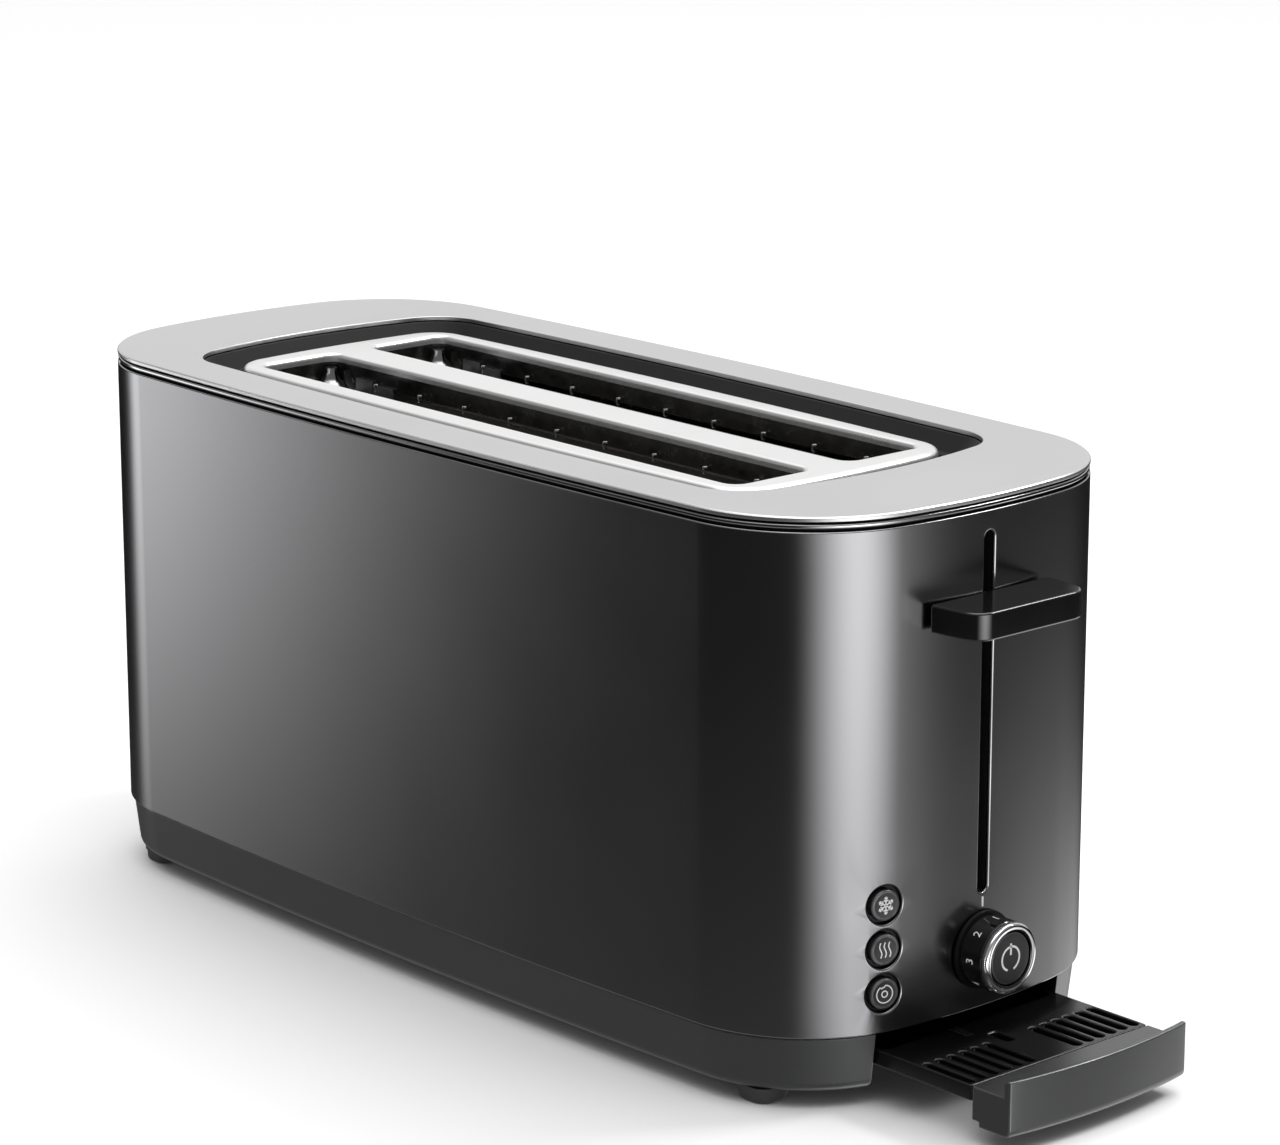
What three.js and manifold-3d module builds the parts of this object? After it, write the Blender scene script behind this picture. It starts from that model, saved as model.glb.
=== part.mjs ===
// A long-slot pop-up toaster as an assembly of separate solids. Millimetres, +Z up, the toaster
// stands on z = 0 and its long axis runs along X, with the controls at the +X end.
import * as THREE from 'three';
import { mergeVertices } from 'three/addons/utils/BufferGeometryUtils.js';
import Module from 'manifold-3d';

const wasm = await Module();
wasm.setup();

// ---------------------------------------------------------------- driving dimensions
// Housing
const BODY_LENGTH = 410;
const BODY_WIDTH = 170;
const SHELL_HEIGHT = 175; // from the seam above the base to the top face
const BASE_HEIGHT = 20;
const FOOT_HEIGHT = 6;
const CORNER_RADIUS = 52;
const END_BOW = 253; // plan radius of the bowed ends
const SIDE_BOW = 3360; // plan radius of the faintly bowed long sides
const SHELL_WALL = 1;
const PLATE_THICKNESS = 1.6;
const TRIM_HEIGHT = 2.2;
const SHADOW_GAP = 0.6; // the dark lines above and below the trim band
const FIT = 0.3; // clearance between pieces that touch
const RUN = 0.5; // clearance between pieces that slide or turn

// Bread slots and the pieces around them
const CONTROL_ROOM = 66; // from the front chassis plate to the +X end of the shell
const REAR_ROOM = 66; // from the rear chassis plate to the -X end of the shell
const SLOT_WIDTH = 35;
const BRIDGE_WIDTH = 17; // metal between the two slots
const SLOT_SETBACK = 8.5; // from a chassis plate to the end of a slot
const FRAME_SIDE = 9.5; // slot frame outside the slots, on the long sides
const FRAME_END = 11.5; // and at the ends
const FRAME_DROP = 3; // the slot frame sits this far below the top face
const FRAME_SKIN = 1.2;
const LIP_DEPTH = 10; // folded lips around the slots
const COLLAR_SIDE = 12.5; // from the slot frame to the opening in the top plate, on the sides
const COLLAR_END = 15;
const COLLAR_DEPTH = 9;
const COLLAR_LEAN = 6.5; // how far the collar wall leans inwards

// Lever and carriage
const SLIT_WIDTH = 4.5;
const SLIT_TOP_MARGIN = 12; // top of the slit below the top face
const SLIT_FOOT = 40; // bottom of the slit above the seam
const SLIT_CLEAR = 1; // the arm stops this far short of the slit's round ends
const HIGH_LIFT = 20; // travel of the lever above its rest place
const LEVER_WIDTH = 55;
const LEVER_THICKNESS = 9.4;
const LEVER_REACH = 20.5; // how far the handle stands out
const LEVER_CORNER = 7;
const ARM_HEIGHT = 7;
const ARM_THICKNESS = 3;
const RACK_DROP = 45; // bread rack below the top face at rest
const RACK_WIDTH = 20;
const RACK_HEIGHT = 8;
const RACK_RIBS = 9;
const SHEET = 1.5; // carriage and chassis sheet
const GUIDE_ROD_RADIUS = 2.5;
const SPRING_RADIUS = 4.4; // to the middle of its wire
const SPRING_WIRE = 1;
const SPRING_TURNS = 12;

// Bread guides
const GUIDE_WIRE = 1.6;
const GUIDE_WIRES = 10;
const GUIDE_SETBACK = 2; // from a slot's edge to the middle of its guide
const GUIDE_FOOT = 34; // guide pivot above the seam

// Controls
const DIAL_HEIGHT = 20.4; // dial centre above the seam
const DIAL_RADIUS = 12.2;
const DIAL_LENGTH = 12;
const DIAL_SHAFT_RADIUS = 3;
const CAP_RADIUS = 9;
const ESCUTCHEON_RADIUS = 13.4;
const ESCUTCHEON_THICKNESS = 1.2;
const CANCEL_TRAVEL = 1.6;
const BUTTON_OFFSET = 41.8; // button column from the centre line
const BUTTON_CAP_RADIUS = 5.25;
const BUTTON_GAP = 1.35; // dark ring between a cap and its hole
const BUTTON_SPACING = 2; // metal between two button holes
const BUTTON_FOOT = 13.6; // lowest button above the seam
const BUTTON_TRAVEL = 1.4;

// Crumb tray, drawn pulled out
const TRAY_OPEN = 60;
const TRAY_HALF_WIDTH = 42;
const TRAY_TOP = 6.5; // tray deck below the seam
const TRAY_DEPTH = 5.5;
const TRAY_WALL = 1.2;
const TRAY_REAR_MARGIN = 80; // from the -X end of the shell to the closed tray
const PANEL_THICKNESS = 2.8;
const CHEEK_DEPTH = 14;
const TRAY_SLOTS = 6; // in each of two groups
const TRAY_SLOT_PITCH = 5.6;
const TRAY_SLOT_LENGTH = 22;
const TRAY_SLOT_WIDTH = 3.2;
const TRAY_SLOT_FIRST = 11; // middle of the innermost slot from the centre line
const DECK_PLAIN = 16; // closed stretch of the deck behind its slots

// Feet and fasteners
const FOOT_RADIUS = 7.8;
const FOOT_INSET_END = 37;
const FOOT_INSET_SIDE = 21;
const SCREW_RADIUS = 1.6;
const SCREW_HEAD = 3;

// ---------------------------------------------------------------- derived levels and places
const HALF_LENGTH = BODY_LENGTH / 2;
const HALF_WIDTH = BODY_WIDTH / 2;
const SEAM = FOOT_HEIGHT + BASE_HEIGHT;
const TOP = SEAM + SHELL_HEIGHT;
const TRIM_TOP = TOP - PLATE_THICKNESS - SHADOW_GAP;
const TRIM_BOTTOM = TRIM_TOP - TRIM_HEIGHT;
const SHELL_TOP = TRIM_BOTTOM - SHADOW_GAP;
const FRONT_PLATE_X = HALF_LENGTH - CONTROL_ROOM; // inner face of the front chassis plate
const REAR_PLATE_X = REAR_ROOM - HALF_LENGTH; // inner face of the rear chassis plate
const SLOT_X = [REAR_PLATE_X + SLOT_SETBACK, FRONT_PLATE_X - SLOT_SETBACK];
const SLOT_MIDDLE = (SLOT_X[0] + SLOT_X[1]) / 2;
const SLOT_HALF = (SLOT_X[1] - SLOT_X[0]) / 2;
const SLOT_INNER = BRIDGE_WIDTH / 2;
const SLOT_OUTER = SLOT_INNER + SLOT_WIDTH;
const SLOT_CENTRE = (SLOT_INNER + SLOT_OUTER) / 2;
const FRAME_HALF_WIDTH = SLOT_OUTER + FRAME_SIDE;
const FRAME_TOP = TOP - FRAME_DROP;
const LIP_BOTTOM = FRAME_TOP - LIP_DEPTH;
const CHASSIS_TOP = LIP_BOTTOM - FIT;
const CHASSIS_FLOOR = SEAM + 4;
const SLIT_TOP = TOP - SLIT_TOP_MARGIN;
const SLIT_BOTTOM = SEAM + SLIT_FOOT;
const ARM_Z = SLIT_TOP - SLIT_CLEAR - HIGH_LIFT - ARM_HEIGHT / 2; // middle of the lever arm at rest
const LEVER_TRAVEL = ARM_Z - ARM_HEIGHT / 2 - SLIT_CLEAR - SLIT_BOTTOM; // downwards from rest
const RACK_Z = TOP - RACK_DROP;
const SHELF_Z = RACK_Z - 6; // carriage shelf, below the racks' level
const CARRIAGE_X = FRONT_PLATE_X + SHEET + 5;
const ROD_X = CARRIAGE_X + 13;
const ROD_Y = 16;
const MAGNET_Y = -18;
const DIAL_Z = SEAM + DIAL_HEIGHT;
const BUTTON_HOLE_RADIUS = BUTTON_CAP_RADIUS + BUTTON_GAP;
const BUTTON_PITCH = 2 * BUTTON_HOLE_RADIUS + BUTTON_SPACING;
const GUIDE_Z = SEAM + GUIDE_FOOT;
const HEATER_TOP = CHASSIS_TOP - 3;
const HEATER_BOARD = 1;
const HEATER_Y = SLOT_OUTER + 4.5;
const SHIELD_Y = FRAME_HALF_WIDTH - 1.5;
const DECK_Z = SEAM - TRAY_TOP;
const TRAY_FLOOR_Z = DECK_Z - TRAY_DEPTH;

// ---------------------------------------------------------------- materials
const finish = (color, roughness, metalness) =>
  new THREE.MeshStandardMaterial({ color, roughness, metalness });
const MATERIALS = {
  shell: () => finish(0x3b3c3e, 0.38, 0.7),
  plate: () => finish(0xc9c9c8, 0.34, 1),
  trim: () => finish(0x8b8b8c, 0.18, 1),
  frame: () => finish(0xe2e2e0, 0.3, 1),
  steel: () => finish(0xa9abad, 0.35, 1),
  spring: () => finish(0xb4b5b6, 0.3, 1),
  chrome: () => finish(0xe6e6e6, 0.08, 1),
  black: () => finish(0x18181a, 0.45, 0),
  gloss: () => finish(0x101012, 0.15, 0),
  grey: () => finish(0x4a4b4d, 0.5, 0),
  rubber: () => finish(0x262626, 0.9, 0),
  mica: () => finish(0xb9a988, 0.6, 0),
  board: () => finish(0x1f4a2c, 0.55, 0),
  copper: () => finish(0xa6562b, 0.35, 1),
};

// ---------------------------------------------------------------- solids
// A manifold solid from a closed three.js geometry, turned to face outwards.
function solid(geometry) {
  const bare = geometry.clone();
  bare.deleteAttribute('normal');
  bare.deleteAttribute('uv');
  const merged = mergeVertices(bare, 1e-4);
  const triVerts = new Uint32Array(merged.index.array);
  const vertProperties = new Float32Array(merged.attributes.position.array);
  const made = new wasm.Manifold(new wasm.Mesh({ numProp: 3, vertProperties, triVerts }));
  if (made.volume() > 0) return made;
  for (let i = 0; i < triVerts.length; i += 3) {
    [triVerts[i], triVerts[i + 1]] = [triVerts[i + 1], triVerts[i]];
  }
  return new wasm.Manifold(new wasm.Mesh({ numProp: 3, vertProperties, triVerts }));
}

const join = (...solids) => solids.reduce((all, next) => all.add(next));
const cut = (body, ...tools) => tools.reduce((left, tool) => left.subtract(tool), body);

// A box between two values on each axis.
function block([x0, x1], [y0, y1], [z0, z1]) {
  const box = new THREE.BoxGeometry(x1 - x0, y1 - y0, z1 - z0);
  return solid(box.translate((x0 + x1) / 2, (y0 + y1) / 2, (z0 + z1) / 2));
}

// A 2-D shape raised from z0 to z1.
function raise(shape, z0, z1, curveSegments = 2) {
  const options = { depth: z1 - z0, bevelEnabled: false, curveSegments };
  return solid(new THREE.ExtrudeGeometry(shape, options).translate(0, 0, z0));
}

// A shape drawn in Y and Z, run from x0 to x1.
function runX(shape, x0, x1, curveSegments = 2) {
  const options = { depth: x1 - x0, bevelEnabled: false, curveSegments };
  const geometry = new THREE.ExtrudeGeometry(shape, options);
  const [x, y, z] = [new THREE.Vector3(1, 0, 0), new THREE.Vector3(0, 1, 0), new THREE.Vector3(0, 0, 1)];
  geometry.applyMatrix4(new THREE.Matrix4().makeBasis(y, z, x));
  return solid(geometry.translate(x0, 0, 0));
}

function roundedRect([x0, x1], [y0, y1], r) {
  const shape = new THREE.Shape();
  const quarter = Math.PI / 2;
  shape.absarc(x1 - r, y0 + r, r, -quarter, 0, false);
  shape.absarc(x1 - r, y1 - r, r, 0, quarter, false);
  shape.absarc(x0 + r, y1 - r, r, quarter, 2 * quarter, false);
  shape.absarc(x0 + r, y0 + r, r, 2 * quarter, 3 * quarter, false);
  shape.closePath();
  return shape;
}

function circle(x, y, radius, sides) {
  const points = [];
  for (let i = 0; i < sides; i += 1) {
    const angle = (2 * Math.PI * i) / sides;
    points.push(new THREE.Vector2(x + radius * Math.cos(angle), y + radius * Math.sin(angle)));
  }
  return new THREE.Shape(points);
}

// An upright round bar.
const barZ = (x, y, radius, z0, z1, sides = 16) => raise(circle(x, y, radius, sides), z0, z1);
// A round bar along X.
const barX = (y, z, radius, x0, x1, sides = 16) => runX(circle(y, z, radius, sides), x0, x1);

// A turned solid along +X from a profile of [distance along X, radius] pairs, both ends on the axis.
function turned(profile, sides) {
  const points = profile.map(([along, radius]) => new THREE.Vector2(radius, along));
  return solid(new THREE.LatheGeometry(points, sides).rotateZ(-Math.PI / 2));
}

// ---------------------------------------------------------------- plan outlines
// The housing's plan is four kinds of arc that meet smoothly: bowed ends, bowed sides, round corners.
const CORNER_STEPS = 8;
const END_STEPS = 6;
const SIDE_STEPS = 8;

function planCorner({ halfLength, halfWidth, corner, endBow, sideBow }) {
  const endX = halfLength - endBow;
  const sideY = halfWidth - sideBow;
  const toEnd = endBow - corner;
  const toSide = sideBow - corner;
  const apart = Math.hypot(endX, sideY);
  const along = (toEnd ** 2 - toSide ** 2 + apart ** 2) / (2 * apart);
  const across = Math.sqrt(toEnd ** 2 - along ** 2);
  const x = endX + (along * -endX - across * sideY) / apart;
  const y = (along * sideY - across * endX) / apart;
  const endAngle = Math.atan2(y, x - endX);
  const sideAngle = Math.atan2(y - sideY, x);
  return { endX, sideY, x, y, endAngle, sideAngle };
}

function planPoints(plan, inset = 0) {
  const { endX, sideY, x, y, endAngle, sideAngle } = planCorner(plan);
  const [corner, end, side] = [plan.corner - inset, plan.endBow - inset, plan.sideBow - inset];
  const half = Math.PI;
  const points = [];
  const arc = (cx, cy, radius, from, to, steps) => {
    for (let i = 0; i < steps; i += 1) {
      const angle = from + ((to - from) * i) / steps;
      points.push(new THREE.Vector2(cx + radius * Math.cos(angle), cy + radius * Math.sin(angle)));
    }
  };
  arc(endX, 0, end, -endAngle, endAngle, END_STEPS);
  arc(x, y, corner, endAngle, sideAngle, CORNER_STEPS);
  arc(0, sideY, side, sideAngle, half - sideAngle, SIDE_STEPS);
  arc(-x, y, corner, half - sideAngle, half - endAngle, CORNER_STEPS);
  arc(-endX, 0, end, half - endAngle, half + endAngle, END_STEPS);
  arc(-x, -y, corner, half + endAngle, half + sideAngle, CORNER_STEPS);
  arc(0, -sideY, side, half + sideAngle, 2 * half - sideAngle, SIDE_STEPS);
  arc(x, -y, corner, 2 * half - sideAngle, 2 * half - endAngle, CORNER_STEPS);
  return points;
}

// A closed ring whose section visits [plan, inset, z] stations: up the outside, down the inside.
function ring(stations) {
  const loops = stations.map(([plan, inset, z]) =>
    planPoints(plan, inset).map((p) => [p.x + (plan.middle ?? 0), p.y, z]));
  const count = loops[0].length;
  const index = [];
  loops.forEach((_, s) => {
    const next = ((s + 1) % loops.length) * count;
    for (let i = 0; i < count; i += 1) {
      const j = (i + 1) % count;
      index.push(s * count + i, s * count + j, next + j);
      index.push(s * count + i, next + j, next + i);
    }
  });
  const geometry = new THREE.BufferGeometry();
  geometry.setAttribute('position', new THREE.Float32BufferAttribute(loops.flat(2), 3));
  geometry.setIndex(index);
  return solid(geometry);
}

// The full plan area between two heights.
const slab = (plan, inset, z0, z1) =>
  raise(new THREE.Shape(planPoints(plan, inset)), z0, z1).translate([plan.middle ?? 0, 0, 0]);

const BODY_PLAN = {
  halfLength: HALF_LENGTH,
  halfWidth: HALF_WIDTH,
  corner: CORNER_RADIUS,
  endBow: END_BOW,
  sideBow: SIDE_BOW,
};
const FRAME_PLAN = {
  halfLength: SLOT_HALF + FRAME_END,
  halfWidth: FRAME_HALF_WIDTH,
  corner: 15,
  endBow: 420,
  sideBow: SIDE_BOW,
  middle: SLOT_MIDDLE,
};
const OPENING_PLAN = {
  halfLength: FRAME_PLAN.halfLength + COLLAR_END,
  halfWidth: FRAME_HALF_WIDTH + COLLAR_SIDE,
  corner: 20,
  endBow: 220,
  sideBow: SIDE_BOW,
  middle: SLOT_MIDDLE,
};

// Where the shell's +X end is at a distance from the centre line, and which way it faces.
function endSurface(y) {
  const place = planCorner(BODY_PLAN);
  const side = Math.sign(y) || 1;
  const onCorner = Math.abs(y) > END_BOW * Math.sin(place.endAngle);
  const angle = onCorner ? Math.asin((Math.abs(y) - place.y) / CORNER_RADIUS) : Math.asin(Math.abs(y) / END_BOW);
  const x = onCorner
    ? place.x + CORNER_RADIUS * Math.cos(angle)
    : place.endX + END_BOW * Math.cos(angle);
  return { x, angle: side * angle };
}

// ---------------------------------------------------------------- the assembly
const toaster = new THREE.Group();

function add(name, material, made) {
  const data = made.getMesh();
  const geometry = new THREE.BufferGeometry();
  geometry.setAttribute('position', new THREE.BufferAttribute(new Float32Array(data.vertProperties), 3));
  geometry.setIndex(new THREE.BufferAttribute(new Uint32Array(data.triVerts), 1));
  geometry.computeVertexNormals();
  const mesh = new THREE.Mesh(geometry, MATERIALS[material]());
  mesh.name = name;
  toaster.add(mesh);
  return mesh;
}

// ---- Controls share one place on the end wall
const BUTTON_PLACE = endSurface(-BUTTON_OFFSET);

// Puts a solid built along +X, with x = 0 on the shell's surface, at a button's place.
function atButton(made, z) {
  const turn = THREE.MathUtils.radToDeg(BUTTON_PLACE.angle);
  return made.rotate([0, 0, turn]).translate([BUTTON_PLACE.x, -BUTTON_OFFSET, z]);
}

const BUTTON_NAMES = ['bagel_button', 'reheat_button', 'defrost_button'];
const buttonZ = (i) => SEAM + BUTTON_FOOT + i * BUTTON_PITCH;

// ---- Housing
function outerShell() {
  const edge = 0.6;
  const wall = ring([
    [BODY_PLAN, 0, SEAM],
    [BODY_PLAN, 0, SHELL_TOP - edge],
    [BODY_PLAN, edge, SHELL_TOP],
    [BODY_PLAN, SHELL_WALL, SHELL_TOP],
    [BODY_PLAN, SHELL_WALL, SEAM],
  ]);
  const slitHalf = SLIT_WIDTH / 2;
  const slit = roundedRect([-slitHalf, slitHalf], [SLIT_BOTTOM, SLIT_TOP], slitHalf * 0.999);
  const [inside, outside] = [HALF_LENGTH - 12, HALF_LENGTH + 12];
  const buttonHole = barX(0, 0, BUTTON_HOLE_RADIUS, -8, 8, 20);
  return cut(
    wall,
    runX(slit, inside, outside, 3),
    barX(0, DIAL_Z, DIAL_SHAFT_RADIUS + 2 * RUN, inside, outside),
    ...BUTTON_NAMES.map((_, i) => atButton(buttonHole, buttonZ(i))),
  );
}

const TRIM_INSET = 0.3;
const TRIM_WALL = 1.7;
function trimBand() {
  return ring([
    [BODY_PLAN, TRIM_INSET, TRIM_BOTTOM],
    [BODY_PLAN, TRIM_INSET, TRIM_TOP],
    [BODY_PLAN, TRIM_INSET + TRIM_WALL, TRIM_TOP],
    [BODY_PLAN, TRIM_INSET + TRIM_WALL, TRIM_BOTTOM],
  ]);
}

function topCarrier() {
  const outer = TRIM_INSET + TRIM_WALL + FIT;
  const [low, high] = [SHELL_TOP - 2.5, TOP - PLATE_THICKNESS - FIT];
  return ring([
    [BODY_PLAN, outer, low],
    [BODY_PLAN, outer, high],
    [BODY_PLAN, outer + 1.3, high],
    [BODY_PLAN, outer + 1.3, low],
  ]);
}

function topPlate() {
  const chamfer = 0.6;
  return ring([
    [BODY_PLAN, 0, TOP - PLATE_THICKNESS],
    [BODY_PLAN, 0, TOP - chamfer],
    [BODY_PLAN, chamfer, TOP],
    [OPENING_PLAN, 0, TOP],
    [OPENING_PLAN, 0, TOP - PLATE_THICKNESS],
  ]);
}

// The dark tub wall that leans in from the plate's opening towards the slot frame.
function slotCollar() {
  const [rim, foot] = [TOP - PLATE_THICKNESS - FIT, TOP - COLLAR_DEPTH];
  return ring([
    [OPENING_PLAN, COLLAR_LEAN - 1.2, foot],
    [OPENING_PLAN, -0.4, rim - 1.6],
    [OPENING_PLAN, -0.4, rim],
    [OPENING_PLAN, 0.8, rim],
    [OPENING_PLAN, COLLAR_LEAN, foot + 1.2],
    [OPENING_PLAN, COLLAR_LEAN + 3, foot + 1.2],
    [OPENING_PLAN, COLLAR_LEAN + 3, foot],
  ]);
}

function slotHole(side, grow, z0, z1) {
  const y = [SLOT_INNER - grow, SLOT_OUTER + grow].map((value) => value * side).sort((a, b) => a - b);
  const x = [SLOT_X[0] - grow, SLOT_X[1] + grow];
  return raise(roundedRect(x, y, 6 + grow), z0, z1, 2);
}

function slotFrame() {
  const [near, far] = [-1, 1];
  const lips = [near, far].map((side) => slotHole(side, FRAME_SKIN, LIP_BOTTOM, FRAME_TOP));
  const holes = [near, far].map((side) => slotHole(side, 0, LIP_BOTTOM - 1, FRAME_TOP + 1));
  const edge = 1.2;
  const solidTop = join(
    slab(FRAME_PLAN, edge, FRAME_TOP - edge, FRAME_TOP),
    slab(FRAME_PLAN, 0, LIP_BOTTOM, FRAME_TOP - edge),
  );
  const hollow = slab(FRAME_PLAN, FRAME_SKIN, LIP_BOTTOM - 1, FRAME_TOP - edge - FRAME_SKIN);
  return cut(join(cut(solidTop, hollow), ...lips), ...holes);
}

// ---- Base
const BASE_TOP_INSET = 1;
const BASE_FOOT_INSET = 3.1;
const BASE_WALL = 2.2;
const BASE_FLANGE = 12;
const BASE_ROUND = 3.5;
const FLANGE_THICKNESS = 2;

function traySpace() {
  const half = TRAY_HALF_WIDTH + 1.2;
  const inside = HALF_LENGTH - CHEEK_DEPTH - PANEL_THICKNESS - BASE_FOOT_INSET - 6;
  return block([inside, HALF_LENGTH + 10], [-half, half], [FOOT_HEIGHT - 1, SEAM + 1]);
}

function baseSkirt() {
  const top = SEAM - 0.5;
  const wall = ring([
    [BODY_PLAN, BASE_FOOT_INSET + BASE_ROUND, FOOT_HEIGHT],
    [BODY_PLAN, BASE_FOOT_INSET + BASE_ROUND * 0.3, FOOT_HEIGHT + BASE_ROUND * 0.3],
    [BODY_PLAN, BASE_FOOT_INSET, FOOT_HEIGHT + BASE_ROUND],
    [BODY_PLAN, BASE_TOP_INSET, top],
    [BODY_PLAN, BASE_TOP_INSET + BASE_WALL, top],
    [BODY_PLAN, BASE_FOOT_INSET + BASE_WALL, FOOT_HEIGHT + FLANGE_THICKNESS],
    [BODY_PLAN, BASE_FOOT_INSET + BASE_FLANGE, FOOT_HEIGHT + FLANGE_THICKNESS],
    [BODY_PLAN, BASE_FOOT_INSET + BASE_FLANGE, FOOT_HEIGHT],
  ]);
  const glandHole = barX(GLAND_Y, GLAND_Z, GLAND_RADIUS + FIT, -HALF_LENGTH - 5, -HALF_LENGTH + 25);
  return cut(wall, traySpace(), glandHole);
}

const PAN_Z = FOOT_HEIGHT + FLANGE_THICKNESS + FIT;
const PAN_SHEET = 1.2;
function bottomPan() {
  const screwHoles = screwPlaces().map(([x, y]) => barZ(x, y, SCREW_RADIUS + FIT, PAN_Z - 1, PAN_Z + 3, 12));
  const plate = slab(BODY_PLAN, BASE_FOOT_INSET + BASE_WALL + 1, PAN_Z, PAN_Z + PAN_SHEET);
  return cut(plate, traySpace(), ...screwHoles);
}

const corners = (x, y) => [[x, -y], [x, y], [-x, -y], [-x, y]];
const footPlaces = () => corners(HALF_LENGTH - FOOT_INSET_END, HALF_WIDTH - FOOT_INSET_SIDE);
const screwPlaces = () => corners(HALF_LENGTH - FOOT_INSET_END - 40, HALF_WIDTH - FOOT_INSET_SIDE - 4);

function foot([x, y]) {
  const shape = roundedRect([x - FOOT_RADIUS, x + FOOT_RADIUS], [y - FOOT_RADIUS, y + FOOT_RADIUS], 5);
  return raise(shape, 0, FOOT_HEIGHT - FIT, 2);
}

// A pan-headed screw that points up into the bottom pan.
function panScrew([x, y]) {
  const head = barZ(x, y, SCREW_HEAD, PAN_Z - FIT - 1.4, PAN_Z - FIT, 12);
  const shank = barZ(x, y, SCREW_RADIUS, PAN_Z - FIT - 0.7, PAN_Z + PAN_SHEET + 3, 10);
  const slot = block([x - 2, x + 2], [y - 0.4, y + 0.4], [PAN_Z - FIT - 2, PAN_Z - FIT - 0.9]);
  return cut(join(head, shank), slot);
}

// ---- Cord inlet
const GLAND_Y = 0;
const GLAND_RADIUS = 5;
const GLAND_FLANGE = 1.6;
const GLAND_Z = PAN_Z + PAN_SHEET + FIT + GLAND_RADIUS + GLAND_FLANGE;
const CORD_RADIUS = 3.4;

function cordGland() {
  const wallX = BASE_FOOT_INSET - endSurface(GLAND_Y).x;
  const outer = wallX - 1;
  const inner = wallX + BASE_WALL + 2.5;
  return cut(
    join(
      barX(GLAND_Y, GLAND_Z, GLAND_RADIUS, outer, inner + 8),
      barX(GLAND_Y, GLAND_Z, GLAND_RADIUS + GLAND_FLANGE, inner, inner + 2),
    ),
    barX(GLAND_Y, GLAND_Z, CORD_RADIUS, outer - 1, inner + 9),
  );
}

function terminalBlock() {
  const x = REAR_PLATE_X - SHEET - 24;
  const body = block([x, x + 14], [-18, 18], [SEAM + 12, SEAM + 26]);
  const wells = [-12, 0, 12].map((y) => barX(y, SEAM + 19, 3, x - 1, x + 8, 12));
  return cut(body, ...wells);
}

// ---- Chassis and heaters
const CHASSIS_HALF = FRAME_HALF_WIDTH - FIT;
const RACK_TONGUE = 3;

// Slits that the racks' tongues slide in.
function tongueSlits(x0, x1) {
  const half = RACK_TONGUE / 2 + RUN;
  const low = RACK_Z - LEVER_TRAVEL - 3;
  const high = RACK_Z + HIGH_LIFT + RACK_HEIGHT + 3;
  return [-SLOT_CENTRE, SLOT_CENTRE].map((y) => block([x0, x1], [y - half, y + half], [low, high]));
}

function frontPlate() {
  const [x0, x1] = [FRONT_PLATE_X, FRONT_PLATE_X + SHEET];
  const plate = block([x0, x1], [-CHASSIS_HALF, CHASSIS_HALF], [CHASSIS_FLOOR, CHASSIS_TOP]);
  const reach = ROD_X + 14;
  const top = block([x0, reach], [ROD_Y - 8, ROD_Y + 8], [CHASSIS_TOP - SHEET, CHASSIS_TOP]);
  const floor = block([x0, reach], [MAGNET_Y - 14, ROD_Y + 8], [CHASSIS_FLOOR, CHASSIS_FLOOR + SHEET]);
  return cut(join(plate, top, floor), ...tongueSlits(x0 - 1, x1 + 1));
}

function rearPlate() {
  const [x0, x1] = [REAR_PLATE_X - SHEET, REAR_PLATE_X];
  const plate = block([x0, x1], [-CHASSIS_HALF, CHASSIS_HALF], [CHASSIS_FLOOR, CHASSIS_TOP]);
  return cut(plate, ...tongueSlits(x0 - 1, x1 + 1));
}

const BETWEEN_PLATES = [REAR_PLATE_X + FIT, FRONT_PLATE_X - FIT];
const BOARD_WINDOWS = 5;

// A mica board with a row of windows, which the element ribbon crosses.
function heaterBoard(y) {
  const sheet = [y - HEATER_BOARD / 2, y + HEATER_BOARD / 2];
  const [z0, z1] = [GUIDE_Z - 4, HEATER_TOP];
  const step = (BETWEEN_PLATES[1] - BETWEEN_PLATES[0]) / BOARD_WINDOWS;
  const windows = [];
  for (let i = 0; i < BOARD_WINDOWS; i += 1) {
    const middle = BETWEEN_PLATES[0] + step * (i + 0.5);
    windows.push(block([middle - step * 0.28, middle + step * 0.28], [y - 2, y + 2], [z1 - 16, z1 - 10]));
  }
  return cut(block(BETWEEN_PLATES, sheet, [z0, z1]), ...windows);
}

function heatShield(side) {
  const y = SHIELD_Y * side;
  const inward = y - 5 * side;
  const face = block(BETWEEN_PLATES, [y - 0.5, y + 0.5], [CHASSIS_FLOOR + 8, CHASSIS_TOP]);
  const fold = block(BETWEEN_PLATES, [Math.min(y, inward), Math.max(y, inward)], [CHASSIS_FLOOR + 8, CHASSIS_FLOOR + 9]);
  return join(face, fold);
}

// ---- Carriage
const HANDLE_BACK = HALF_LENGTH + RUN;
const ARM_END = HANDLE_BACK + 9;

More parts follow.
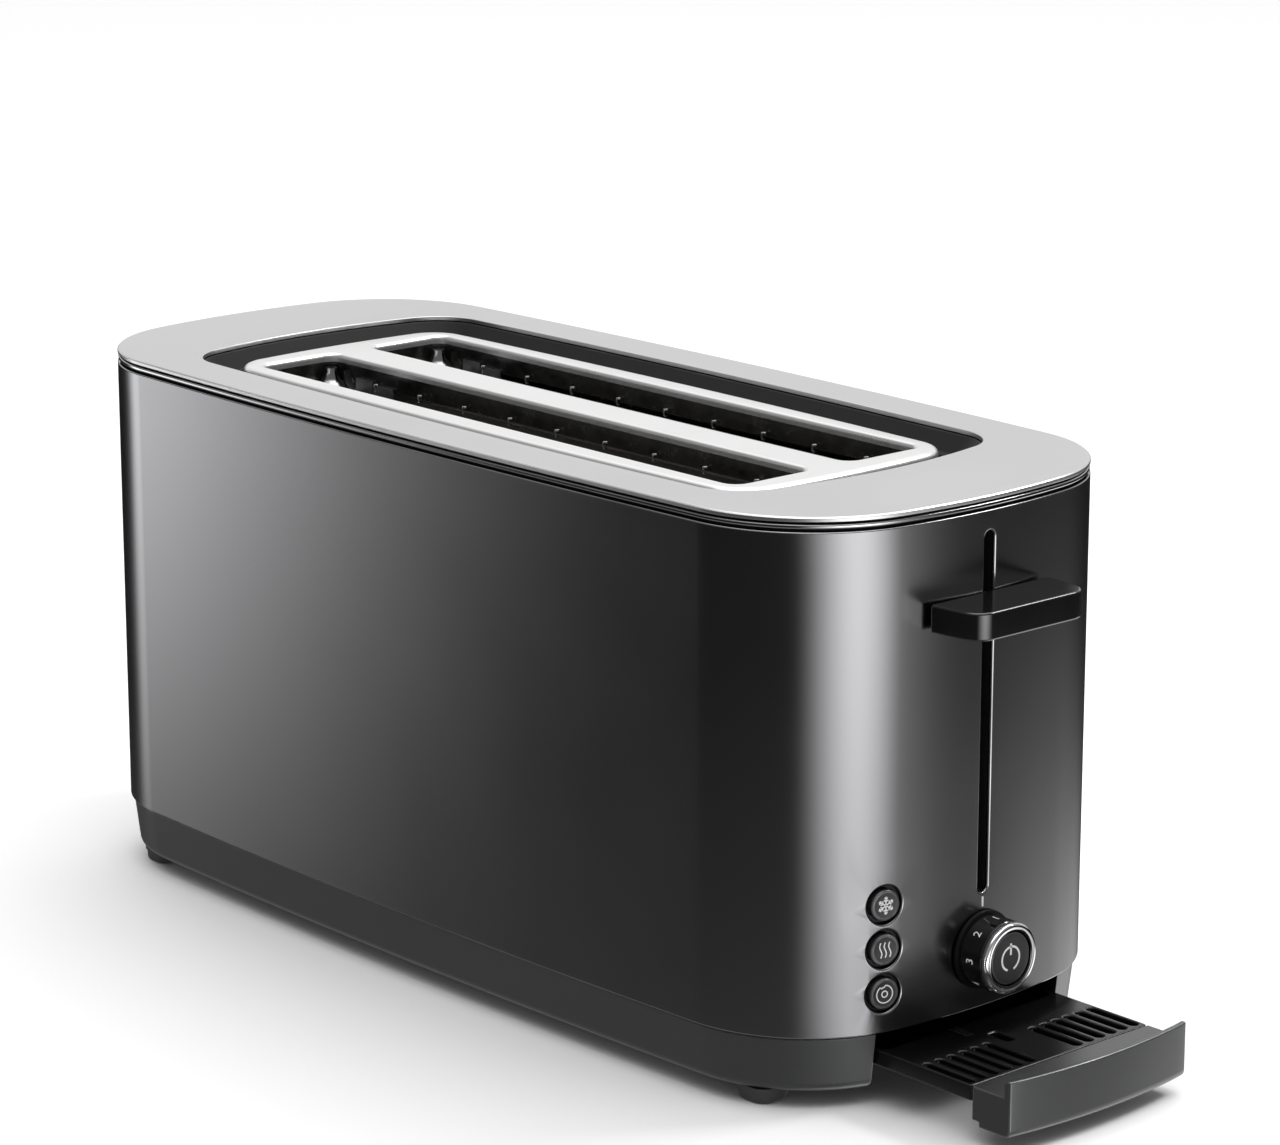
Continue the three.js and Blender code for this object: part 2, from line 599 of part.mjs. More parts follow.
function carriageBracket() {
  const half = SLOT_CENTRE + 8;
  const sheet = [CARRIAGE_X, CARRIAGE_X + SHEET];
  const wall = block(sheet, [-half, half], [SHELF_Z, RACK_Z + RACK_HEIGHT - 3]);
  const post = block(sheet, [-5, 5], [SHELF_Z, ARM_Z + ARM_HEIGHT / 2]);
  const shelf = block([CARRIAGE_X, ROD_X + 11], [MAGNET_Y - 10, ROD_Y + 7], [SHELF_Z, SHELF_Z + SHEET]);
  const sleeve = barZ(ROD_X, ROD_Y, GUIDE_ROD_RADIUS + 2.2, SHELF_Z, SHELF_Z + 9, 14);
  const [armLow, armHigh] = [ARM_Z - ARM_HEIGHT / 2, ARM_Z + ARM_HEIGHT / 2];
  const arm = block([CARRIAGE_X, ARM_END], [-ARM_THICKNESS / 2, ARM_THICKNESS / 2], [armLow, armHigh]);
  const bore = barZ(ROD_X, ROD_Y, GUIDE_ROD_RADIUS + RUN, SHELF_Z - 1, SHELF_Z + 10, 14);
  return cut(join(wall, post, shelf, sleeve, arm), bore);
}

function leverHandle() {
  const half = LEVER_WIDTH / 2;
  const front = HALF_LENGTH + LEVER_REACH;
  const shape = new THREE.Shape();
  const taper = 1.5;
  shape.moveTo(HANDLE_BACK, -half);
  shape.lineTo(front - LEVER_CORNER, -half + taper);
  shape.absarc(front - LEVER_CORNER, -half + taper + LEVER_CORNER, LEVER_CORNER, -Math.PI / 2, 0, false);
  shape.absarc(front - LEVER_CORNER, half - taper - LEVER_CORNER, LEVER_CORNER, 0, Math.PI / 2, false);
  shape.lineTo(HANDLE_BACK, half);
  shape.closePath();
  const grip = raise(shape, ARM_Z - LEVER_THICKNESS / 2, ARM_Z + LEVER_THICKNESS / 2, 3);
  const socket = block(
    [HANDLE_BACK - 1, ARM_END + FIT],
    [-ARM_THICKNESS / 2 - FIT, ARM_THICKNESS / 2 + FIT],
    [ARM_Z - ARM_HEIGHT / 2 - FIT, ARM_Z + ARM_HEIGHT / 2 + FIT],
  );
  return cut(grip, socket);
}

function latchPlate() {
  const z = SHELF_Z - FIT;
  return block([ROD_X - 7, ROD_X + 7], [MAGNET_Y - 7, MAGNET_Y + 7], [z - 2, z]);
}

// A comb of ribs on a strip, with a tongue through each chassis plate.
function breadRack(side) {
  const y = SLOT_CENTRE * side;
  const spine = block(
    [REAR_PLATE_X - SHEET - 3, CARRIAGE_X - FIT],
    [y - RACK_TONGUE / 2, y + RACK_TONGUE / 2],
    [RACK_Z, RACK_Z + RACK_HEIGHT - 3],
  );
  const ribs = [];
  const pitch = (SLOT_X[1] - SLOT_X[0]) / RACK_RIBS;
  for (let i = 0; i < RACK_RIBS; i += 1) {
    const x = SLOT_X[0] + pitch * (i + 0.5);
    ribs.push(block([x - 1, x + 1], [y - RACK_WIDTH / 2, y + RACK_WIDTH / 2], [RACK_Z + 1, RACK_Z + RACK_HEIGHT]));
  }
  return join(spine, ...ribs);
}

function guideRod() {
  return barZ(ROD_X, ROD_Y, GUIDE_ROD_RADIUS, CHASSIS_FLOOR + SHEET + FIT, CHASSIS_TOP - SHEET - FIT, 12);
}

class Helix extends THREE.Curve {
  constructor(radius, height, turns) {
    super();
    Object.assign(this, { radius, height, turns });
  }

  getPoint(t, target = new THREE.Vector3()) {
    const angle = 2 * Math.PI * this.turns * t;
    return target.set(this.radius * Math.cos(angle), this.radius * Math.sin(angle), this.height * t);
  }
}

// The lift spring stands round the guide rod and pushes the carriage shelf up.
function liftSpring() {
  const low = CHASSIS_FLOOR + SHEET + FIT + SPRING_WIRE;
  const high = SHELF_Z - FIT - SPRING_WIRE;
  const path = new Helix(SPRING_RADIUS, high - low, SPRING_TURNS);
  const options = { extrudePath: path, steps: SPRING_TURNS * 8, bevelEnabled: false };
  const coil = solid(new THREE.ExtrudeGeometry(circle(0, 0, SPRING_WIRE / 2, 5), options));
  return coil.translate([ROD_X, ROD_Y, low]);
}

// ---- Electromagnet that holds the carriage down
const MAGNET_TOP = SHELF_Z - FIT - 2 - LEVER_TRAVEL - RUN;
const MAGNET_FOOT = CHASSIS_FLOOR + SHEET + FIT;

function magnetCore() {
  const yoke = block([ROD_X - 8, ROD_X + 8], [MAGNET_Y - 8, MAGNET_Y + 8], [MAGNET_FOOT, MAGNET_FOOT + 2.5]);
  return join(yoke, barZ(ROD_X, MAGNET_Y, 3, MAGNET_FOOT, MAGNET_TOP, 12));
}

function magnetCoil() {
  const [z0, z1] = [MAGNET_FOOT + 2.5 + FIT, MAGNET_TOP - 1.5];
  const bobbin = join(
    barZ(ROD_X, MAGNET_Y, 6.5, z0, z1),
    barZ(ROD_X, MAGNET_Y, 7.6, z0, z0 + 1.2),
    barZ(ROD_X, MAGNET_Y, 7.6, z1 - 1.2, z1),
  );
  return cut(bobbin, barZ(ROD_X, MAGNET_Y, 3 + FIT, z0 - 1, z1 + 1, 12));
}

// ---- Bread guides: cages of wire that lean in to hold the bread
const GUIDE_TOP = LIP_BOTTOM - 3.2;

function breadGuide(y) {
  const half = GUIDE_WIRE / 2;
  const [x0, x1] = [SLOT_X[0] + 4, SLOT_X[1] - 4];
  const sheet = [y - half, y + half];
  const rails = [
    block([REAR_PLATE_X + RUN, FRONT_PLATE_X - RUN], sheet, [GUIDE_Z - half, GUIDE_Z + half]),
    block([x0, x1], sheet, [GUIDE_TOP - GUIDE_WIRE, GUIDE_TOP]),
  ];
  const pitch = (x1 - x0 - GUIDE_WIRE) / (GUIDE_WIRES - 1);
  for (let i = 0; i < GUIDE_WIRES; i += 1) {
    const x = x0 + half + i * pitch;
    rails.push(block([x - half, x + half], sheet, [GUIDE_Z, GUIDE_TOP - half]));
  }
  return join(...rails);
}

// ---- Buttons
const PANEL_SETBACK = SHELL_WALL + 1.1;
const BUTTON_PANEL_THICKNESS = 1.6;
const BUTTON_FLANGE = 1.2;

function buttonPanel() {
  const [x1, half] = [-PANEL_SETBACK, BUTTON_CAP_RADIUS + 2.6];
  const [z0, z1] = [buttonZ(0) - 9.5, buttonZ(BUTTON_NAMES.length - 1) + 9.5];
  const x = [x1 - BUTTON_PANEL_THICKNESS, x1];
  const plate = block(x, [-half, half], [z0, z1]);
  const holes = BUTTON_NAMES.map((_, i) => barX(0, buttonZ(i), BUTTON_CAP_RADIUS + RUN, x[0] - 1, x[1] + 1));
  return atButton(cut(plate, ...holes), 0);
}

function pushButton(z) {
  const back = -PANEL_SETBACK - BUTTON_PANEL_THICKNESS - FIT;
  const cap = barX(0, 0, BUTTON_CAP_RADIUS, back - BUTTON_FLANGE, 0.6, 20);
  const flange = barX(0, 0, BUTTON_CAP_RADIUS + 1.6, back - BUTTON_FLANGE, back);
  const stem = barX(0, 0, 1.5, back - 4, back, 8);
  return atButton(join(cap, flange, stem), z);
}

function buttonBoard() {
  const back = -PANEL_SETBACK - BUTTON_PANEL_THICKNESS - FIT - 4 - BUTTON_TRAVEL - 0.4;
  const [z0, z1] = [buttonZ(0) - 9, buttonZ(BUTTON_NAMES.length - 1) + 9];
  return atButton(block([back - 1.6, back], [-8, 8], [z0, z1]), 0);
}

// ---- Browning dial, with the cancel button as its cap
const ESCUTCHEON_BACK = HALF_LENGTH + FIT;
const DIAL_BACK = ESCUTCHEON_BACK + ESCUTCHEON_THICKNESS + FIT;
const DIAL_FRONT = DIAL_BACK + DIAL_LENGTH;
const WEB_FRONT = DIAL_BACK + 5; // the dial's web, behind the cap
const RING_DEPTH = 2.2;
const ENCODER_FRONT = HALF_LENGTH - SHELL_WALL - 3;
const SHAFT_BACK = ENCODER_FRONT + FIT;

function escutcheon() {
  const [x0, x1] = [ESCUTCHEON_BACK, ESCUTCHEON_BACK + ESCUTCHEON_THICKNESS];
  return cut(
    barX(0, DIAL_Z, ESCUTCHEON_RADIUS, x0, x1, 28),
    barX(0, DIAL_Z, DIAL_SHAFT_RADIUS + RUN, x0 - 1, x1 + 1, 14),
  );
}

function dialKnob() {
  const wall = CAP_RADIUS + RUN;
  const profile = [
    [SHAFT_BACK, 0],
    [SHAFT_BACK, DIAL_SHAFT_RADIUS],
    [DIAL_BACK, DIAL_SHAFT_RADIUS],
    [DIAL_BACK, DIAL_RADIUS],
    [DIAL_FRONT - RING_DEPTH - FIT, DIAL_RADIUS],
    [DIAL_FRONT - RING_DEPTH - FIT, wall],
    [WEB_FRONT, wall],
    [WEB_FRONT, 0],
  ];
  const bore = barX(0, 0, 1.5 + RUN, SHAFT_BACK - 1, WEB_FRONT + 1, 10);
  return cut(turned(profile, 28), bore).translate([0, 0, DIAL_Z]);
}

function dialRing() {
  const wall = CAP_RADIUS + RUN;
  const x0 = DIAL_FRONT - RING_DEPTH;
  const body = turned([[x0, 0], [x0, DIAL_RADIUS], [DIAL_FRONT - 0.6, DIAL_RADIUS], [DIAL_FRONT, DIAL_RADIUS - 0.6], [DIAL_FRONT, 0]], 28);
  return cut(body, barX(0, 0, wall, x0 - 1, DIAL_FRONT + 1, 28)).translate([0, 0, DIAL_Z]);
}

function cancelButton() {
  const [back, front] = [WEB_FRONT + CANCEL_TRAVEL + RUN, DIAL_FRONT - 0.5];
  return join(
    barX(0, DIAL_Z, CAP_RADIUS, back, front, 28),
    barX(0, DIAL_Z, 1.5, SHAFT_BACK + CANCEL_TRAVEL + RUN, back + 1, 10),
  );
}

function dialEncoder() {
  return block([ENCODER_FRONT - 10, ENCODER_FRONT], [-7, 7], [DIAL_Z - 7, DIAL_Z + 7]);
}

function slitLiner() {
  const x = [HALF_LENGTH - SHELL_WALL - 4, HALF_LENGTH - SHELL_WALL - 0.5];
  const wide = [-SLIT_WIDTH / 2 - 3, SLIT_WIDTH / 2 + 3];
  const body = block(x, wide, [SLIT_BOTTOM - 3, SLIT_TOP + 3]);
  const channel = block([x[0] - 1, x[1] + 1], [-SLIT_WIDTH / 2, SLIT_WIDTH / 2], [SLIT_BOTTOM, SLIT_TOP]);
  return cut(body, channel);
}

function controlBoard() {
  const x = ROD_X + 24;
  return block([x, x + 1.6], [8, 46], [CHASSIS_FLOOR + 6, SEAM + SHELL_HEIGHT / 2]);
}

// ---- Crumb tray
const TRAY_BACK = TRAY_REAR_MARGIN - HALF_LENGTH;
const PANEL_INSET = BASE_FOOT_INSET - 0.6;
const PANEL_TOP = SEAM - 0.5 - FIT;
const CHEEK_X = endSurface(TRAY_HALF_WIDTH).x - PANEL_INSET - PANEL_THICKNESS - CHEEK_DEPTH;

// The stretch of the base's plan that the tray panel completes.
const panelZone = (x0) => block([x0, HALF_LENGTH + 5], [-TRAY_HALF_WIDTH, TRAY_HALF_WIDTH], [0, SEAM + 5]);

function trayPanel() {
  const [low, high] = [FOOT_HEIGHT, PANEL_TOP];
  const full = slab(BODY_PLAN, PANEL_INSET, low + 2, high);
  const chin = slab(BODY_PLAN, PANEL_INSET + 2, low, low + 2);
  const behind = slab(BODY_PLAN, PANEL_INSET + PANEL_THICKNESS, DECK_Z, high + 1);
  const hollow = block(
    [CHEEK_X - 1, HALF_LENGTH],
    [-TRAY_HALF_WIDTH + 3, TRAY_HALF_WIDTH - 3],
    [low - 1, TRAY_FLOOR_Z - 2],
  );
  const roomBehind = slab(BODY_PLAN, PANEL_INSET + PANEL_THICKNESS, low - 1, TRAY_FLOOR_Z - 1.2);
  return cut(join(full, chin).intersect(panelZone(CHEEK_X)), behind, hollow.intersect(roomBehind))
    .translate([TRAY_OPEN, 0, 0]);
}

const DECK_FRONT = CHEEK_X - FIT;
function traySlotX() {
  const end = DECK_FRONT - 2;
  return [end - TRAY_SLOT_LENGTH, end];
}

function trayPan() {
  const [half, wall] = [TRAY_HALF_WIDTH, TRAY_WALL];
  const gripX = traySlotX()[0] - DECK_PLAIN;
  const body = block([TRAY_BACK, DECK_FRONT], [-half, half], [TRAY_FLOOR_Z, DECK_Z]);
  const inner = [-half + wall, half - wall];
  const hollow = block([TRAY_BACK + wall, gripX - wall], inner, [TRAY_FLOOR_Z + wall, DECK_Z + 1]);
  const under = block([gripX, DECK_FRONT - wall], inner, [TRAY_FLOOR_Z - 1, DECK_Z - 1.6]);
  return cut(body, hollow, under, ...traySlots(DECK_Z - 3, DECK_Z + 1)).translate([TRAY_OPEN, 0, 0]);
}

function traySlots(z0, z1) {
  const cuts = [];
  const x = traySlotX();
  for (const side of [-1, 1]) {
    for (let i = 0; i < TRAY_SLOTS; i += 1) {
      const y = side * (TRAY_SLOT_FIRST + i * TRAY_SLOT_PITCH);
      const half = TRAY_SLOT_WIDTH / 2;
      cuts.push(raise(roundedRect(x, [y - half, y + half], half * 0.99), z0, z1, 2));
    }
  }
  return cuts;
}

// An angle strip on each side that the tray runs on.
function trayRail(side) {
  const x = [TRAY_BACK - 6, HALF_LENGTH - 34];
  const [inner, outer] = [TRAY_HALF_WIDTH - 3, TRAY_HALF_WIDTH + RUN + 1.4];
  const span = (a, b) => [a * side, b * side].sort((p, q) => p - q);
  const floor = [TRAY_FLOOR_Z - RUN - 1.4, TRAY_FLOOR_Z - RUN];
  return join(
    block(x, span(inner, outer), floor),
    block(x, span(TRAY_HALF_WIDTH + RUN, outer), [floor[0], DECK_Z - 1]),
  );
}

// ---------------------------------------------------------------- build
add('outer_shell', 'shell', outerShell());
add('trim_band', 'trim', trimBand());
add('top_carrier', 'black', topCarrier());
add('top_plate', 'plate', topPlate());
add('slot_collar', 'black', slotCollar());
add('slot_frame', 'frame', slotFrame());
add('base_skirt', 'grey', baseSkirt());
add('bottom_pan', 'black', bottomPan());
footPlaces().forEach((place, i) => add(`foot_${i + 1}`, 'rubber', foot(place)));
screwPlaces().forEach((place, i) => add(`pan_screw_${i + 1}`, 'steel', panScrew(place)));
add('cord_gland', 'black', cordGland());
add('terminal_block', 'grey', terminalBlock());
add('front_chassis_plate', 'steel', frontPlate());
add('rear_chassis_plate', 'steel', rearPlate());
add('heat_shield_near', 'steel', heatShield(-1));
add('heat_shield_far', 'steel', heatShield(1));
add('heater_board_near', 'mica', heaterBoard(-HEATER_Y));
add('heater_board_centre', 'mica', heaterBoard(0));
add('heater_board_far', 'mica', heaterBoard(HEATER_Y));
add('guide_rod', 'chrome', guideRod());
add('lift_spring', 'spring', liftSpring());
add('magnet_core', 'steel', magnetCore());
add('magnet_coil', 'copper', magnetCoil());
add('control_board', 'board', controlBoard());
add('button_board', 'board', buttonBoard());
add('button_panel', 'black', buttonPanel());
add('dial_encoder', 'steel', dialEncoder());
add('dial_escutcheon', 'black', escutcheon());
add('slit_liner', 'black', slitLiner());
add('tray_rail_near', 'steel', trayRail(-1));
add('tray_rail_far', 'steel', trayRail(1));

add('carriage_bracket', 'steel', carriageBracket());
add('lever_handle', 'gloss', leverHandle());
add('latch_plate', 'steel', latchPlate());
add('bread_rack_near', 'steel', breadRack(-1));
add('bread_rack_far', 'steel', breadRack(1));

add('guide_near_outer', 'chrome', breadGuide(-(SLOT_OUTER - GUIDE_SETBACK)));
add('guide_near_inner', 'chrome', breadGuide(-(SLOT_INNER + GUIDE_SETBACK)));
add('guide_far_inner', 'chrome', breadGuide(SLOT_INNER + GUIDE_SETBACK));
add('guide_far_outer', 'chrome', breadGuide(SLOT_OUTER - GUIDE_SETBACK));

BUTTON_NAMES.forEach((name, i) => add(name, 'grey', pushButton(buttonZ(i))));
add('dial_knob', 'gloss', dialKnob());
add('dial_ring', 'chrome', dialRing());
add('cancel_button', 'black', cancelButton());

add('tray_panel', 'grey', trayPanel());
add('tray_pan', 'black', trayPan());

// The origin is under the middle of the whole toaster, with its tray pulled out.
const TRAY_FRONT_X = HALF_LENGTH - PANEL_INSET + TRAY_OPEN;
toaster.position.x = -(TRAY_FRONT_X - HALF_LENGTH) / 2;

export default toaster;
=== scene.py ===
import math

import bmesh
import bpy
from mathutils import Matrix, Vector
from mathutils.geometry import delaunay_2d_cdt


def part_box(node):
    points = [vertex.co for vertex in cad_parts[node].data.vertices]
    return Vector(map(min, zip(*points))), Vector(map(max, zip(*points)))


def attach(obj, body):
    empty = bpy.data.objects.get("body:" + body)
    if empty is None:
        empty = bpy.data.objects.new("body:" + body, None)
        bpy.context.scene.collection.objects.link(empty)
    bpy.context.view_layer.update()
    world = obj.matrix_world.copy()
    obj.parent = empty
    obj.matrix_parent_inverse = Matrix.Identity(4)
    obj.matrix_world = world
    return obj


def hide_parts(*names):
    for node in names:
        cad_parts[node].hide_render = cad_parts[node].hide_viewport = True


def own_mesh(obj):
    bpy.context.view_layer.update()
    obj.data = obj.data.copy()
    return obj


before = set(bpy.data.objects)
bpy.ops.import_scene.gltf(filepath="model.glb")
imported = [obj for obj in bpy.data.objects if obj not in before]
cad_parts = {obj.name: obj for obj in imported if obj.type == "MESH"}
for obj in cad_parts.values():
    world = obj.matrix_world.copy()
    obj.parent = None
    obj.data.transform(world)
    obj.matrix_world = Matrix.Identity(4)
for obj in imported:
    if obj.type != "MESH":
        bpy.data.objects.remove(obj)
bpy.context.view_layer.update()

MM = 0.001
TURN = 2 * math.pi
QUARTER = math.pi / 2
scene = bpy.context.scene


# ---------------------------------------------------------------- places from the frame, in millimetres
def box_mm(node):
    low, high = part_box(node)
    return low / MM, high / MM


def middle_mm(node):
    low, high = box_mm(node)
    return (low + high) / 2


SHELL_LOW, SHELL_HIGH = box_mm("outer_shell")
BODY_MIDDLE = (SHELL_LOW.x + SHELL_HIGH.x) / 2
HALF_LENGTH = (SHELL_HIGH.x - SHELL_LOW.x) / 2
HALF_WIDTH = SHELL_HIGH.y
TOP = box_mm("top_plate")[1].z
SEAM = SHELL_LOW.z
DIAL_Z = middle_mm("dial_escutcheon").z


# ---------------------------------------------------------------- plan outlines
class Plan:
    """A long round-cornered outline: bowed ends and bowed sides that meet four corner arcs smoothly."""

    def __init__(self, half_length, half_width, corner, end_bow, side_bow, middle):
        end_x = half_length - end_bow
        side_y = half_width - side_bow
        to_end = end_bow - corner
        to_side = side_bow - corner
        apart = math.hypot(end_x, side_y)
        along = (to_end**2 - to_side**2 + apart**2) / (2 * apart)
        across = math.sqrt(to_end**2 - along**2)
        x = end_x + (along * -end_x - across * side_y) / apart
        y = (along * side_y - across * end_x) / apart
        end = math.atan2(y, x - end_x)
        side = math.atan2(y - side_y, x)
        half = math.pi
        self.middle = middle
        self.end_x, self.end_bow, self.end_angle = end_x, end_bow, end
        self.corner_x, self.corner_y, self.corner = x, y, corner
        self.arcs = [
            (end_x, 0, end_bow, -end, end),
            (x, y, corner, end, side),
            (0, side_y, side_bow, side, half - side),
            (-x, y, corner, half - side, half - end),
            (-end_x, 0, end_bow, half - end, half + end),
            (-x, -y, corner, half + end, half + side),
            (0, -side_y, side_bow, half + side, TURN - side),
            (x, -y, corner, TURN - side, TURN - end),
        ]

    def point(self, angle, inset=0.0):
        """The outline's point where it faces an angle, moved inwards by inset."""
        angle = (angle + self.end_angle) % TURN - self.end_angle
        for x, y, radius, low, high in self.arcs:
            if angle <= high + 1e-9:
                reach = radius - inset
                return self.middle + x + reach * math.cos(angle), y + reach * math.sin(angle)
        raise ValueError("angle is off the outline")

    def angles(self, steps=(16, 22, 14)):
        """Facing angles round the outline: steps on an end, a corner and a side."""
        counts = [steps[0], steps[1], steps[2], steps[1]] * 2
        found = []
        for (_, _, _, low, high), count in zip(self.arcs, counts):
            found += [low + (high - low) * i / count for i in range(count)]
        return found

    def bow_x(self, y, inset=0.0):
        """How far out the +X end is at a distance y from the centre line."""
        reach = self.end_bow - inset
        if abs(y) <= reach * math.sin(self.end_angle):
            return self.middle + self.end_x + math.sqrt(reach**2 - y**2)
        reach = self.corner - inset
        return self.middle + self.corner_x + math.sqrt(reach**2 - (abs(y) - self.corner_y) ** 2)

    def end_facing(self, y, inset=0.0):
        """The angle that the +X end faces at a distance y from the centre line."""
        reach = self.end_bow - inset
        if abs(y) <= reach * math.sin(self.end_angle):
            return math.asin(y / reach)
        angle = math.asin((abs(y) - self.corner_y) / (self.corner - inset))
        return math.copysign(angle, y)

    def run(self, angle):
        """Length along the outline from the middle of the +X end to a facing angle up to half a turn."""
        length = 0.0
        for _, _, radius, low, high in self.arcs[:5]:
            start = max(low, 0.0)
            length += radius * max(0.0, min(abs(angle), high, math.pi) - start)
        return math.copysign(length, angle)

    def facing(self, length):
        """The facing angle at a length along the outline, measured as run() does."""
        left = abs(length)
        for _, _, radius, low, high in self.arcs[:5]:
            start = max(low, 0.0)
            span = radius * (min(high, math.pi) - start)
            if left <= span + 1e-6:
                return math.copysign(start + left / radius, length)
            left -= span
        return math.copysign(math.pi, length)


BODY = Plan(HALF_LENGTH, HALF_WIDTH, 52, 253, 3360, BODY_MIDDLE)
FRAME_LOW, FRAME_HIGH = box_mm("slot_frame")
SLOT_MIDDLE = (FRAME_LOW.x + FRAME_HIGH.x) / 2
FRAME_HALF = ((FRAME_HIGH.x - FRAME_LOW.x) / 2, FRAME_HIGH.y)
FRAME = Plan(FRAME_HALF[0], FRAME_HALF[1], 15, 420, 3360, SLOT_MIDDLE)
OPENING = Plan(FRAME_HALF[0] + 15, FRAME_HALF[1] + 12.5, 20, 220, 3360, SLOT_MIDDLE)
TRAY_OUT = box_mm("tray_panel")[1].x - (BODY.bow_x(0) - 2.5)
TRAY_FRONT = Plan(HALF_LENGTH, HALF_WIDTH, 52, 253, 3360, BODY_MIDDLE + TRAY_OUT)


# ---------------------------------------------------------------- mesh making
class Shape:
    """Points in millimetres and faces, gathered before they become one mesh."""

    def __init__(self):
        self.points = []
        self.faces = []

    def row(self, points):
        start = len(self.points)
        self.points += [tuple(p) for p in points]
        return list(range(start, len(self.points)))

    # Each face carries how far it takes the lighter edge colour: rubbing wear and a painted highlight.
    def face(self, corners, wear_and_shine=0.0, finish=0):
        self.faces.append((list(corners), wear_and_shine, finish))

    def strip(self, one, other, closed=True, wear_and_shine=0.0, finish=0):
        """Four-sided faces between two rows of the same length."""
        count = len(one)
        for i in range(count if closed else count - 1):
            j = (i + 1) % count
            self.face([one[i], one[j], other[j], other[i]], wear_and_shine, finish)

    def tube(self, rows, closed_path=False, wear_and_shine=0.0, finish=0):
        """Closed rows joined one after the other, with flat ends unless the path closes."""
        for one, other in zip(rows, rows[1:]):
            self.strip(one, other, True, wear_and_shine, finish)
        if closed_path:
            self.strip(rows[-1], rows[0], True, wear_and_shine, finish)
        else:
            self.face(rows[0], wear_and_shine, finish)
            self.face(rows[-1], wear_and_shine, finish)

    def block(self, low, high, finish=0):
        (x0, y0, z0), (x1, y1, z1) = low, high
        rows = [self.row([(x0, y0, z), (x1, y0, z), (x1, y1, z), (x0, y1, z)]) for z in (z0, z1)]
        self.tube(rows, finish=finish)

    def prism(self, outline, low, high, finish=0):
        """A flat outline in plan, raised from low to high."""
        self.tube([self.row([(x, y, z) for x, y in outline]) for z in (low, high)], finish=finish)

    def rod(self, start, end, radius, sides=16, finish=0):
        """A round bar between two points."""
        self.wire([start, end], radius, sides, finish)

    def wire(self, path, radius, sides=10, finish=0):
        """A round wire along a path of points."""
        path = [Vector(p) for p in path]
        across = None
        rows = []
        for i, p in enumerate(path):
            along = (path[min(i + 1, len(path) - 1)] - path[max(i - 1, 0)]).normalized()
            if across is None:
                across = along.orthogonal().normalized()
            across = (across - along * across.dot(along)).normalized()
            other = along.cross(across)
            rows.append(self.row(
                p + radius * (across * math.cos(TURN * k / sides) + other * math.sin(TURN * k / sides))
                for k in range(sides)
            ))
        self.tube(rows, finish=finish)

    def lathe(self, profile, centre, axis="x", sides=64, wear_and_shine=(), finish=0):
        """A profile of (along, radius) pairs turned about an axis, closed on the axis at both ends."""
        rows = []
        for along, radius in profile:
            ring = []
            for k in range(sides):
                a, b = radius * math.cos(TURN * k / sides), radius * math.sin(TURN * k / sides)
                offset = {"x": (along, a, b), "y": (a, along, b), "z": (a, b, along)}[axis]
                ring.append(Vector(centre) + Vector(offset))
            rows.append(self.row(ring))
        for i, (one, other) in enumerate(zip(rows, rows[1:])):
            self.strip(one, other, True, 1.0 if i in wear_and_shine else 0.0, finish)
        self.face(rows[0], 0.0, finish)
        self.face(rows[-1], 0.0, finish)

    def take(self, mesh, place, finish=0):
        """Adds another mesh's faces, each vertex placed by place(co)."""
        start = len(self.points)
        self.points += [tuple(place(v.co)) for v in mesh.vertices]
        for polygon in mesh.polygons:
            self.face([start + i for i in polygon.vertices], 0.0, finish)


def inside(point, loop):
    """Whether a flat point is within a closed loop of flat points."""
    x, y = point
    found = False
    for (x0, y0), (x1, y1) in zip(loop, loop[1:] + loop[:1]):
        if (y0 > y) != (y1 > y) and x < (x1 - x0) * (y - y0) / (y1 - y0) + x0:
            found = not found
    return found


def pierced(outline, holes, spare=()):
    """Triangles that fill a flat outline round its holes. Returns points, triangles and the index rows
    of the outline and of each hole."""
    loops = [list(outline)] + [list(hole) for hole in holes]
    points, edges = [], []
    for loop in loops:
        start = len(points)
        points += loop
        edges += [(start + i, start + (i + 1) % len(loop)) for i in range(len(loop))]
    points += list(spare)
    flat, _, triangles, origin, _, _ = delaunay_2d_cdt([Vector(p) for p in points], edges, [], 0, 1e-6)
    flat = [tuple(p) for p in flat]
    renamed = {old: new for new, olds in enumerate(origin) for old in olds}
    kept = []
    for triangle in triangles:
        centre = tuple(sum(flat[i][k] for i in triangle) / 3 for k in (0, 1))
        if inside(centre, loops[0]) and not any(inside(centre, hole) for hole in loops[1:]):
            kept.append(triangle)
    rows, start = [], 0
    for loop in loops:
        rows.append([renamed[start + i] for i in range(len(loop))])
        start += len(loop)
    return flat, kept, rows


def rounded_box(x0, x1, y0, y1, radius, grow=0.0, steps=8):
    """A round-cornered oblong outline, grown outwards."""
    reach = radius + grow
    corners = [(x1 - radius, y0 + radius, -QUARTER), (x1 - radius, y1 - radius, 0),
               (x0 + radius, y1 - radius, QUARTER), (x0 + radius, y0 + radius, 2 * QUARTER)]
    return [
        (x + reach * math.cos(start + QUARTER * i / steps), y + reach * math.sin(start + QUARTER * i / steps))
        for x, y, start in corners for i in range(steps + 1)
    ]


def rolled(radius, steps=4):
    """(outward, down) pairs that roll an edge over from flat to upright."""
    return [
        (radius * (1 - math.sin(QUARTER * i / steps)), radius * (1 - math.cos(QUARTER * i / steps)))
        for i in range(steps + 1)
    ]


